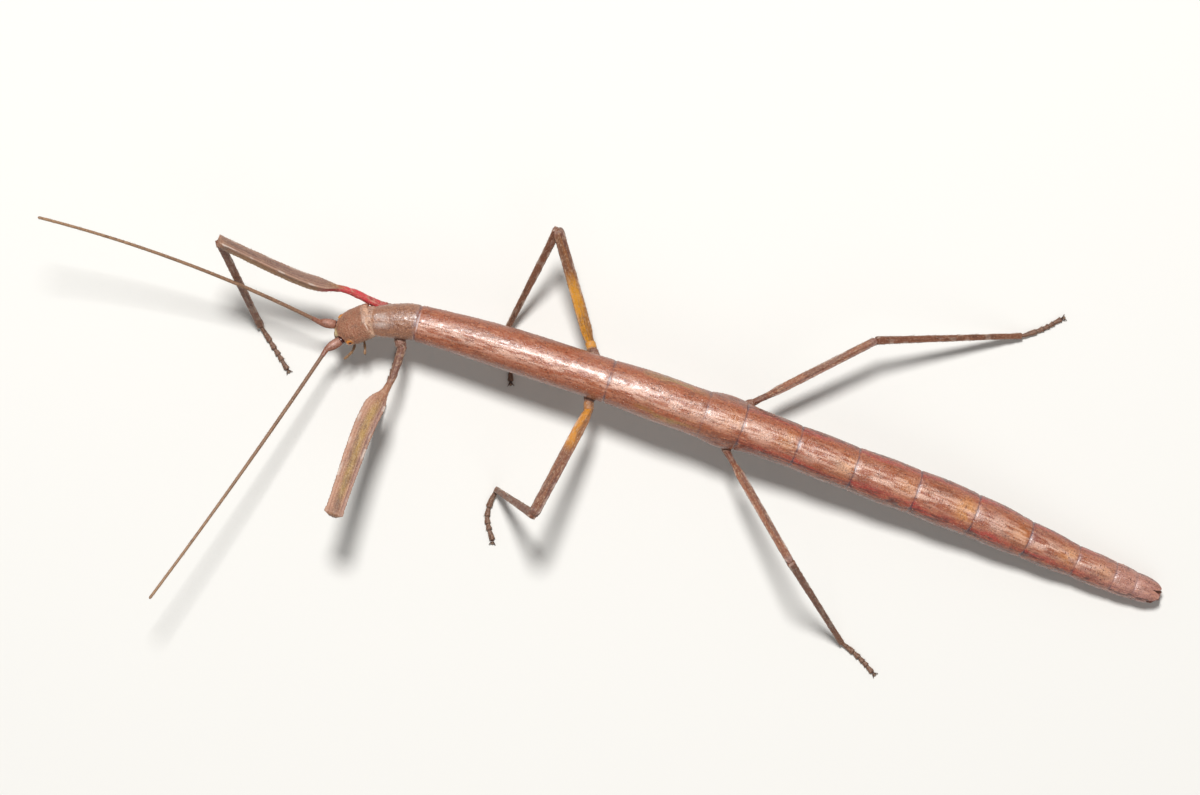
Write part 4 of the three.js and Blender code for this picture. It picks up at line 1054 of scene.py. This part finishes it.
legKinds = {
    "fore": {"station": -21.9, "coxa": (0.64, 0.52), "halfWidth": 1.04, "halfDepth": 0.58,
             "corners": 3, "stalk": 0.245, "hipRadius": 0.46, "stalkRadius": 0.34,
             "shinRadii": (0.39, 0.34), "tarsus": 5.3, "tarsusRadius": 0.31},
    "mid": {"station": -1.3, "coxa": (0.6, 0.5), "halfWidth": 0.52, "halfDepth": 0.5,
            "corners": 4, "stalk": 0.02, "hipRadius": 0.47, "stalkRadius": 0.47,
            "shinRadii": (0.43, 0.28), "tarsus": 5.2, "tarsusRadius": 0.33},
    "hind": {"station": 12.9, "coxa": (0.6, 0.4), "halfWidth": 0.39, "halfDepth": 0.43,
             "corners": 4, "stalk": 0.1, "hipRadius": 0.36, "stalkRadius": 0.31,
             "shinRadii": (0.38, 0.27), "tarsus": 4.5, "tarsusRadius": 0.31},
}
legs = (  # name, kind, side, hip, lengths of thigh and shin, the thigh's bearing, rise and twist, bearings of
    # shin and foot, curl of the foot
    ("fore_left", "fore", -1, (-20.55, -2.0, 6.78), 19.6, 18, -91.5, 21.2, 0, 88.8, 92.4, 0),
    ("fore_right", "fore", 1, (-24.22, 1.12, 6.13), 19.6, 18, 178.4, 31.6, 64, -49, -38.7, 0),
    ("mid_left", "mid", -1, (-0.61, -1.57, 7.9), 13.5, 14.4, -98.1, 28.3, 0, 169.5, -74.8, -0.75),
    ("mid_right", "mid", 1, (-2.84, 4.85, 5.9), 13, 15.6, 125.8, 23.7, 0, -97.8, -65, 0.2),
    ("hind_left", "hind", -1, (13.94, -0.79, 7.7), 14.1, 16.8, -40.5, 26.2, 0, -36.6, -24, 0.15),
    ("hind_right", "hind", 1, (14.76, 4.78, 6.2), 14.1, 16.8, 47, 6.4, 0, 21.9, 43, -0.2),
)
legShape = {
    "ankleHeight": 0.62, "coxaAcross": 0.55, "coxaDown": 0.62, "hipOverlap": 0.22, "kneeOverlap": 0.12,
    "bowOutAt": 0.2, "bowOut": 0.24, "bowInAt": 0.42, "bowIn": 0.42,
    "tarsomereEnds": (0.36, 0.53, 0.67, 0.79, 1.0), "soleShare": 0.68,
    "keelHeight": 0.055, "toothHeight": 0.05, "toothPitch": 0.42, "hairLength": 0.2,
    "clawLength": 0.62, "clawRadius": 0.075, "padHalves": (0.17, 0.12), "padLength": 0.42,
    "shinToothHeight": 0.035, "shinToothPitch": 0.5,
}


def turnedAbout(v, axis, degrees):
    c, s = np.cos(np.radians(degrees)), np.sin(np.radians(degrees))
    return v * c + np.cross(axis, v) * s + axis * np.dot(axis, v) * (1 - c)


def cornered(angle, corners, roundness):
    # outline with rounded corners: 1 at a corner and less between two of them
    step = 2 * np.pi / corners
    fromCorner = (angle - step / 2) % step
    flat = np.cos(step / 2) / np.cos(fromCorner - step / 2)
    return flat * (1 - roundness) + roundness


def cornerGap(angle, corners):
    # signed angle to the nearest corner
    step = 2 * np.pi / corners
    return angle % step - step / 2


def thighSection(kind):
    # a round stalk that widens into a blade and narrows a little to the knee, where two lobes flare
    cornerSide = np.sin(np.pi / kind["corners"])

    def section(t, angle):
        blade = smooth(t, kind["stalk"], kind["stalk"] + 0.14) * (1 - 0.24 * smooth(t, 0.4, 1))
        shape = cornered(angle, kind["corners"], 0.28)
        rod = kind["hipRadius"] + (kind["stalkRadius"] - kind["hipRadius"]) * smooth(t, 0, kind["stalk"])
        across = rod + (kind["halfWidth"] / cornerSide * shape - rod) * blade
        deep = rod + (kind["halfDepth"] / cornerSide * shape - rod) * blade
        return across, deep

    return section


def shinSection(atKnee, atAnkle):
    # square with rounded edges, thinner towards the ankle, a little flared at its two ends
    def section(t, angle):
        flare = 1 + 0.12 * smooth(np.abs(t - 0.5), 0.4, 0.5)
        size = (atKnee + (atAnkle - atKnee) * t) * flare * 1.2 * cornered(angle, 4, 0.5)
        return size, size

    return section


def footSection(radius):
    # five joints, each widest at its far end, with a neck before the next one
    ends = np.array(legShape["tarsomereEnds"])

    def section(t, angle):
        joint = np.minimum(np.searchsorted(ends, t - 1e-6), len(ends) - 1)
        start = np.r_[0, ends[:-1]][joint]
        share = (t - start) / (ends[joint] - start)
        width = radius * (0.62 + 0.4 * share ** 1.5) * (1 - 0.25 * smooth(share, 0.94, 1))
        return width + 0 * angle, width * 0.9 + 0 * angle

    return section


def clawSection(t, angle):
    # round section that thins out to a point
    radius = legShape["clawRadius"] * (1.02 - t) ** 0.7 + 0.006
    return radius + 0 * angle, radius + 0 * angle


legLooks = {  # for each leg: colours of the thigh's base, field, edges, knee and middle band, how far the
    # base's colour reaches, and how much of it the hip takes
    "fore_left": {"base": "70483c", "field": "a06e52", "edge": "6a3834", "knee": "a4785e",
                  "reach": 0.27, "hipTint": 0.2, "band": "a8863c"},
    "fore_right": {"base": "d03c48", "field": "9a6c48", "edge": "7a3c34", "knee": "a4785e",
                  "reach": 0.3, "hipTint": 0.5, "band": "b4803c"},
    "mid_left": {"base": "cc841c", "field": "7c4a32", "edge": "5c3430", "knee": "74483c",
                  "reach": 0.45, "hipTint": 0.4, "band": "a8863c"},
    "mid_right": {"base": "d89212", "field": "865028", "edge": "5c3430", "knee": "74483c",
                  "reach": 0.68, "hipTint": 0.85, "band": "a8863c"},
    "hind_left": {"base": "6e3c2a", "field": "84492c", "edge": "5c342c", "knee": "94706c",
                  "reach": 0.15, "hipTint": 0.3, "band": "a8863c"},
    "hind_right": {"base": "6e3c2a", "field": "8a4e2e", "edge": "5c342c", "knee": "94706c",
                  "reach": 0.15, "hipTint": 0.3, "band": "a8863c"},
}
shinFinish = cuticle("shinCuticle", {
    "base": "6e3e2a", "dark": "3e2218", "pale": "ae8268", "blotches": 1.6, "stretch": 0.35, "grain": 8.0,
    "roughness": 0.5, "mottling": 0.6,
    "tones": (("tipShare", "7c5238", 0.5),), "over": (("ridge", "9a7660", 0.45), ("dust", "d0bfae", 0.5))})
footFinish = cuticle("footCuticle", {
    "base": "6a4634", "dark": "38221a", "pale": "b8967c", "blotches": 2.2, "grain": 9.0, "roughness": 0.5,
    "mottling": 0.7, "over": (("sole", "8e7a64", 0.6), ("joint", "2a1812", 0.6))})
clawFinish = cuticle("clawHorn", {
    "base": "3a1d12", "dark": "1c0d08", "pale": "7a4a2c", "grain": 12.0, "roughness": 0.25, "coat": 0.5,
    "bump": 0.1})

for number, (legName, kindName, side, hip, femurLength, tibiaLength, thighTurn, rise, twist, shinTurn,
             footTurn, curl) in enumerate(legs):
    kind, look = legKinds[kindName], legLooks[legName]
    hip = np.array(hip)
    thighWay = pointing(thighTurn, rise)
    knee = hip + thighWay * femurLength
    fall = np.degrees(np.arcsin((knee[2] - legShape["ankleHeight"]) / tibiaLength))
    ankle = knee + pointing(shinTurn, -fall) * tibiaLength
    coat = []

    station = np.array(kind["station"])
    s, u = trunkAxes(station)
    halfWidth, halfHeight = (through(borders, trunkKnots[:, k], station) for k in (3, 4))
    root = (trunkMiddle(station) + s * side * legShape["coxaAcross"] * halfWidth
            - u * legShape["coxaDown"] * halfHeight)
    grid = limbGrid(straight(root, hip + thighWay * legShape["hipOverlap"]), skyward, tapered(*kind["coxa"]),
                    48, 0.05, (0.3, 0.3))
    fromTip = (1 - grid["t"]) * grid["length"] - legShape["hipOverlap"]
    joint = bell(fromTip - 0.85, 0.09)
    coxaFinish = cuticle(f"{legName}_coxaCuticle", {
        "base": "7a4f3e", "dark": "4c2e26", "pale": "c09c88", "blotches": 2.0, "grain": 8.0, "roughness": 0.55,
        "mottling": 0.6, "topPaleness": 0.3, "tones": (("tip", look["base"], look["hipTint"]),),
        "over": (("joint", "4a2c26", 0.5),)})
    limbPiece(f"{legName}_coxa_skin", grid, uneven(grid["lay"], 0.08, 0.28, number + 1.0) - 0.06 * joint,
              {"joint": joint, "tip": smooth(fromTip, 1.0, 0.5)}, coxaFinish, "leg", f"{legName}_coxa")
    coat.append(joined(spotsOn(grid["points"], 0.24, 100 + number, 0.7), bead(), 0.04, 0.045,
                       sink=0.4, band=(0, 0.2)))

    aside = unit(np.array([-thighWay[1], thighWay[0], 0.0])) * side
    bow = float(kind["corners"] == 3)  # 1 for the bent blades of the fore legs, 0 for the other thighs
    path = bent([hip - thighWay * legShape["hipOverlap"],
                 hip + (knee - hip) * legShape["bowOutAt"] - aside * legShape["bowOut"] * bow,
                 hip + (knee - hip) * legShape["bowInAt"] + aside * legShape["bowIn"] * bow, knee])
    thighUp = turnedAbout(skyward, thighWay, twist * side)
    grid = limbGrid(path, thighUp, thighSection(kind), 96, 0.07, (0.3, 0.6 - 0.3 * bow))
    t, angle = grid["t"], grid["angle"]
    toCorner = cornerGap(angle, kind["corners"])
    bladeShare = smooth(t, kind["stalk"], kind["stalk"] + 0.12)
    keel = bell(toCorner, 0.13) * (0.3 + 0.7 * bladeShare)
    # across the blade's face, from -1 at one edge to 1 at the other
    lane = -side * np.tan(np.clip(roundGap(angle, 0), -1.3, 1.3)) / np.tan(np.pi / 3)
    midKeel = (bell(lane + 0.76, 0.08) + bell(lane + 0.44, 0.07) + bell(lane - 0.5, 0.07) if bow else
               bell(np.cos(2 * angle) ** 2 - 1, 0.05) * 0.3) * bladeShare * smooth(t, 1, 0.94)
    teeth = keel * np.maximum(0, np.sin(2 * np.pi * t * femurLength / legShape["toothPitch"])) ** 3
    knuckles = smooth(t, 0.955, 0.985) * bell(np.abs(np.sin(angle)) - 1, 0.35) * (0.25 + 0.75 * bow)
    lift = (legShape["keelHeight"] * (keel + 0.7 * midKeel) + legShape["toothHeight"] * teeth
            + 0.1 * (noiseAt(grid["lay"], (0.5, 0.25, 0.25), number + 3.0) - 0.5) * (1 - 0.5 * bladeShare)
            + 0.1 * knuckles)
    dust = smooth(noiseAt(grid["lay"], (0.9, 0.4, 0.4), number + 9.0), 0.62, 0.75)
    rolled = float(twist > 0)  # a rolled blade shows its upper face and its lower flank
    flank = bow * rolled * smooth(np.abs(roundGap(angle, 0)), 0.98, 1.12)
    blush = smooth(t - 0.12 * flank, look["reach"], look["reach"] * 0.7)
    streaks = noiseAt(grid["lay"], (2.5, 0.18, 0.18), number + 15.0)
    masks = {"base": np.broadcast_to(blush, streaks.shape), "ridge": np.clip(keel + 0.6 * midKeel, 0, 1),
             "knee": smooth(t, 0.93, 0.99) + 0 * angle,
             "edge": smooth(np.abs(np.sin(angle)), 0.75, 0.98) * (1 - 0.6 * blush), "dust": dust * keel,
             "streak": smooth(streaks, 0.5, 0.62) * bladeShare,
             "olive": (bow * (1 - rolled) * bell(lane - 0.08, 0.3) + flank)
             * smooth(t, 0.3, 0.42) * smooth(t, 0.97, 0.85),
             "plum": (bow * (1 - rolled) * smooth(lane, 0.45, 0.62) + 0.8 * bow * rolled - 0.8 * flank)
             * smooth(t, 0.28, 0.36),
             "rose": bow * (1 - rolled) * bell(lane + 0.6, 0.3) * bladeShare,
             "shade": (1 - bow) * smooth(0.8 * (streaks - 0.5) - side * np.sin(angle), 0.1, 0.5)}
    thighFinish = cuticle(f"{legName}_thighCuticle", {
        "base": look["field"], "dark": "5a382c", "pale": "c8a888", "blotches": 1.3, "stretch": 0.3,
        "mottling": 0.55, "grain": 8.0, "roughness": 0.5, "stippling": 0.45,
        "tones": (("streak", "5c3a2e", 0.5), ("rose", "a8745e", 0.45), ("olive", look["band"], 0.75),
                  ("plum", "7c5450", 0.75), ("edge", look["edge"], 0.75 - 0.3 * bow),
                  ("base", look["base"], 0.95), ("shade", look["edge"], 0.6), ("knee", look["knee"], 0.6)),
        "over": (("ridge", "cfa48c", 0.2 + 0.3 * bow), ("dust", "e8dcd0", 0.25 + 0.35 * bow))})
    limbPiece(f"{legName}_thigh", grid, lift, masks, thighFinish, "leg", f"{legName}_femur")
    coat.append(joined(spotsOn(grid["points"], 0.3, 110 + number, 0.35 + 0.5 * np.clip(keel, 0, 1)), bristle(),
                       0.011, legShape["hairLength"], 1.2, 0.3, (0.2, 0.5)))
    coat.append(joined(spotsOn(grid["points"], 0.34, 120 + number, 0.25 + 0.5 * np.clip(keel, 0, 1)), bead(),
                       0.035, 0.035, band=(0.2, 0.5)))

    shinRoot = knee - thighWay * legShape["kneeOverlap"]
    grid = limbGrid(straight(shinRoot, ankle), skyward, shinSection(*kind["shinRadii"]), 56, 0.07,
                    (0.2, 0.15))
    t, angle = grid["t"], grid["angle"]
    keel = bell(cornerGap(angle, 4), 0.14)
    dust = smooth(noiseAt(grid["lay"], (0.8, 0.3, 0.3), number + 29.0), 0.66, 0.8)
    teeth = keel * np.maximum(0, np.sin(2 * np.pi * t * tibiaLength / legShape["shinToothPitch"])) ** 4
    lift = (0.035 * keel + legShape["shinToothHeight"] * teeth
            + uneven(grid["lay"], 0.07, (0.4, 0.2, 0.2), number + 31.0))
    masks = {"tipShare": t + 0 * angle, "ridge": np.clip(keel, 0, 1) + 0 * t,
             "dust": dust * (0.3 + 0.7 * keel)}
    limbPiece(f"{legName}_shin", grid, lift, masks, shinFinish, "leg", f"{legName}_tibia")
    coat.append(joined(spotsOn(grid["points"], 0.24, 130 + number, 0.55), bristle(), 0.01,
                       legShape["hairLength"], 1.2, 0.3, (0.5, 0.8)))

    toeWay = pointing(footTurn, 0)
    toeSide = np.array([-toeWay[1], toeWay[0], 0.0])
    low = kind["tarsusRadius"] * legShape["soleShare"]
    foot = np.array([0.3, 0.6, 1.0])
    toes = (np.stack([ankle[0] + 0 * foot, ankle[1] + 0 * foot, [low + 0.1, low, low]], 1)
            + toeWay * (kind["tarsus"] * foot)[:, None] + toeSide * (curl * np.sin(np.pi * foot))[:, None])
    path = bent(np.vstack([ankle, toes]), 300)
    grid = limbGrid(path, skyward, footSection(kind["tarsusRadius"]), 40, 0.035, (0.15, 0.2))
    ends = np.array(legShape["tarsomereEnds"])
    joint = bell(np.abs(grid["t"][..., None] - ends[:-1]).min(-1) * grid["length"], 0.06)
    push(grid, uneven(grid["lay"], 0.05, 0.18, number + 41.0))
    stayAbove(grid)
    masks = {"sole": smooth(-np.cos(grid["angle"]), 0.4, 0.8) + 0 * grid["t"],
             "joint": joint + 0 * grid["angle"]}
    limbPiece(f"{legName}_foot", grid, 0.0, masks, footFinish, "leg", f"{legName}_tarsus")
    offFloor = grid["points"][5:-5]
    coat.append(joined(spotsOn(offFloor, 0.17, 140 + number, smooth(offFloor[..., 2], 0.08, 0.2)), bristle(),
                       0.01, 0.17, 1.2, 0.3, (0.8, 1)))
    tip = grid["middle"][-1] + [0, 0, low * 0.4]
    for hook, spread in (("inner", -1), ("outer", 1)):
        out = unit(toeWay + toeSide * spread * 0.75)
        claw = legShape["clawLength"]
        path = bent([tip - toeWay * 0.1, tip + out * claw * 0.4 + skyward * 0.12,
                     tip + out * claw * 0.75 + skyward * 0.02,
                     tip + out * claw * 0.95 - skyward * (tip[2] - 0.03)], 60)
        grid = limbGrid(path, skyward, clawSection, 16, 0.03, (0.03, 0.01))
        stayAbove(grid)
        limbPiece(f"{legName}_claw_{hook}", grid, 0.0, {}, clawFinish, "leg")
    padEnd = tip + toeWay * legShape["padLength"] - skyward * (tip[2] - 0.16)
    grid = limbGrid(straight(tip + toeWay * 0.02, padEnd), skyward, even(*legShape["padHalves"]), 24, 0.03,
                    (0.12, 0.12))
    stayAbove(grid)
    flat = 0 * grid["lay"][..., 0]
    limbPiece(f"{legName}_pad", grid, 0.0, {"sole": 1 + flat, "joint": flat}, footFinish, "leg")
    coatPiece(f"{legName}_hairs", coat, hairCoat, "leg")
print("legs ready")

tail = {
    "operculumFront": 51.9, "operculumBack": 60.75, "widthShare": 0.88, "thickness": 0.34,
    "cercusStart": 59.95, "cercusEnd": 60.8, "cercusSide": 0.36, "cercusDrop": 0.22, "cercusRadius": 0.25,
}


def inTail(x, aside, below):
    x = np.array(x, float)
    s, u = trunkAxes(x)
    return trunkMiddle(x) + s * aside - u * below


def cercusSection(t, angle):
    # round section that thins out a little towards the tip
    radius = tail["cercusRadius"] * (1 - 0.3 * t)
    return radius + 0 * angle, radius + 0 * angle


def keelPlate():
    # a boat whose bottom stays a plate's thickness below the belly, pointed behind
    t = (1 - np.cos(np.linspace(0, np.pi, 130)))[1:-1, None] / 2
    angle = np.arange(72)[None, :] * 2 * np.pi / 72
    x = tail["operculumFront"] + (tail["operculumBack"] - tail["operculumFront"]) * t
    s, u = trunkAxes(x)
    blunt = np.sqrt(np.sin(np.pi * (0.12 + 0.62 * t))) * np.sqrt(np.minimum(1, np.sin(np.pi * t) / 0.25))
    held = np.minimum(x, trunkEnd)
    across = (through(borders, trunkKnots[:, 3], held) * tail["widthShare"] * blunt
              * (1 + 0.12 * smooth(x, 57.5, 59.5)))
    deep = through(borders, trunkKnots[:, 4], held) * (1 - trunk["bellyFlatness"])
    drop = (deep + tail["thickness"]) * (0.9 + 0.1 * blunt)
    level = 0.35 * deep
    up = -level + (drop - level) * np.minimum(0, np.cos(angle)) + 0.1 * np.maximum(0, np.cos(angle))
    lay = np.stack([x + 0 * angle, across * np.sin(angle), up], -1)
    wrinkle = bell(noiseAt(lay, (1.5, 0.25, 0.25), 51.0) - 0.5, 0.06)
    keel = bell(roundGap(angle, np.pi), 0.12)
    lift = -0.02 * wrinkle + 0.04 * keel + uneven(lay, 0.02, 0.25, 52.0)
    points = trunkMiddle(x) + s * (across * np.sin(angle))[..., None] + u * up[..., None]
    points = points + (s * np.sin(angle)[..., None] + u * np.cos(angle)[..., None]) * lift[..., None]
    ends = inTail([tail["operculumFront"], tail["operculumBack"]], 0.0, 0.0)
    ends = ends - u[[0, -1], 0] * (0.5 * deep[[0, -1]])
    return points, ends, {"lay": lay, "wrinkle": wrinkle, "keel": keel + 0 * t}


keelFinish = cuticle("keelCuticle", {
    "base": "9a5f4c", "dark": "6e3428", "pale": "d8a48c", "blotches": 1.2, "stretch": 0.3, "mottling": 0.6,
    "grain": 7.0, "roughness": 0.45, "tones": (("keel", "6a4436", 0.5),),
    "over": (("wrinkle", "54251f", 0.6),)})
points, ends, masks = keelPlate()
closedPiece("operculum_plate", points, ends, masks, keelFinish, "trunk", "operculum")
for sideName, sign in (("left", -1), ("right", 1)):
    path = straight(inTail(tail["cercusStart"], sign * tail["cercusSide"], tail["cercusDrop"]),
                    inTail(tail["cercusEnd"], sign * tail["cercusSide"], tail["cercusDrop"]))
    grid = limbGrid(path, skyward, cercusSection, 32, 0.03, (0.1, 0.22))
    flat = 0 * grid["lay"][..., 0]
    limbPiece(f"cercus_{sideName}_skin", grid, 0.0, {"keel": flat, "wrinkle": flat}, keelFinish, "trunk",
              f"cercus_{sideName}")
    hairs = joined(spotsOn(grid["points"], 0.12, 160 + sign), bristle(), 0.008, 0.14, 0.8)
    coatPiece(f"cercus_{sideName}_hairs", [hairs], hairCoat, "trunk")
print("tail ready")


def layFloor():
    size = 1.2
    mesh = bpy.data.meshes.new("floor")
    corners = [(-size, -size, 0), (size, -size, 0), (size, size, 0), (-size, size, 0)]
    mesh.from_pydata(corners, [], [(0, 1, 2, 3)])
    floor = bpy.data.objects.new("floor", mesh)
    bpy.context.scene.collection.objects.link(floor)
    material, _, shader = newMaterial("palePaper")
    shader.inputs["Base Color"].default_value = colour("e6e4df")
    shader.inputs["Roughness"].default_value = 0.9
    mesh.materials.append(material)


def addLight(name, place, aim, size, power, tint):
    light = bpy.data.lights.new(name, "AREA")
    light.shape, light.size, light.energy, light.color = "DISK", size, power, tint
    lamp = bpy.data.objects.new(name, light)
    lamp.location = place
    way = np.asarray(aim, float) - place
    pitch = np.arctan2(np.hypot(way[0], way[1]), -way[2])
    lamp.rotation_euler = (pitch, 0, np.arctan2(-way[0], way[1]))
    bpy.context.scene.collection.objects.link(lamp)


studio = {
    "lens": 100, "sensor": 23.53, "height": 0.523, "turn": 20.0,  # millimetres, metres and degrees
    "key": ((-0.10, 0.20, 0.60), 0.12, 4.3), "fill": ((0.25, -0.35, 0.5), 0.5, 0.4), "sky": 0.21,
}


def setStudio():
    layFloor()
    scene = bpy.context.scene
    view = bpy.data.cameras.new("view")
    view.lens, view.sensor_width, view.sensor_fit = studio["lens"], studio["sensor"], "HORIZONTAL"
    view.clip_start, view.clip_end = 0.01, 10
    camera = bpy.data.objects.new("view", view)
    camera.location = (-standingMiddle[0] * 0.001, -standingMiddle[1] * 0.001, studio["height"])
    camera.rotation_euler = (0, 0, np.radians(studio["turn"]))
    scene.collection.objects.link(camera)
    scene.camera = camera
    for name in ("key", "fill"):
        place, size, power = studio[name]
        addLight(name, np.array(place), (0, 0, 0), size, power, (1, 1, 1))
    world = bpy.data.worlds.new("sky")
    scene.world = world
    world.use_nodes = True
    world.node_tree.nodes["Background"].inputs["Color"].default_value = (1, 1, 1, 1)
    world.node_tree.nodes["Background"].inputs["Strength"].default_value = studio["sky"]
    scene.view_settings.view_transform = "Standard"


setStudio()
print("studio ready")
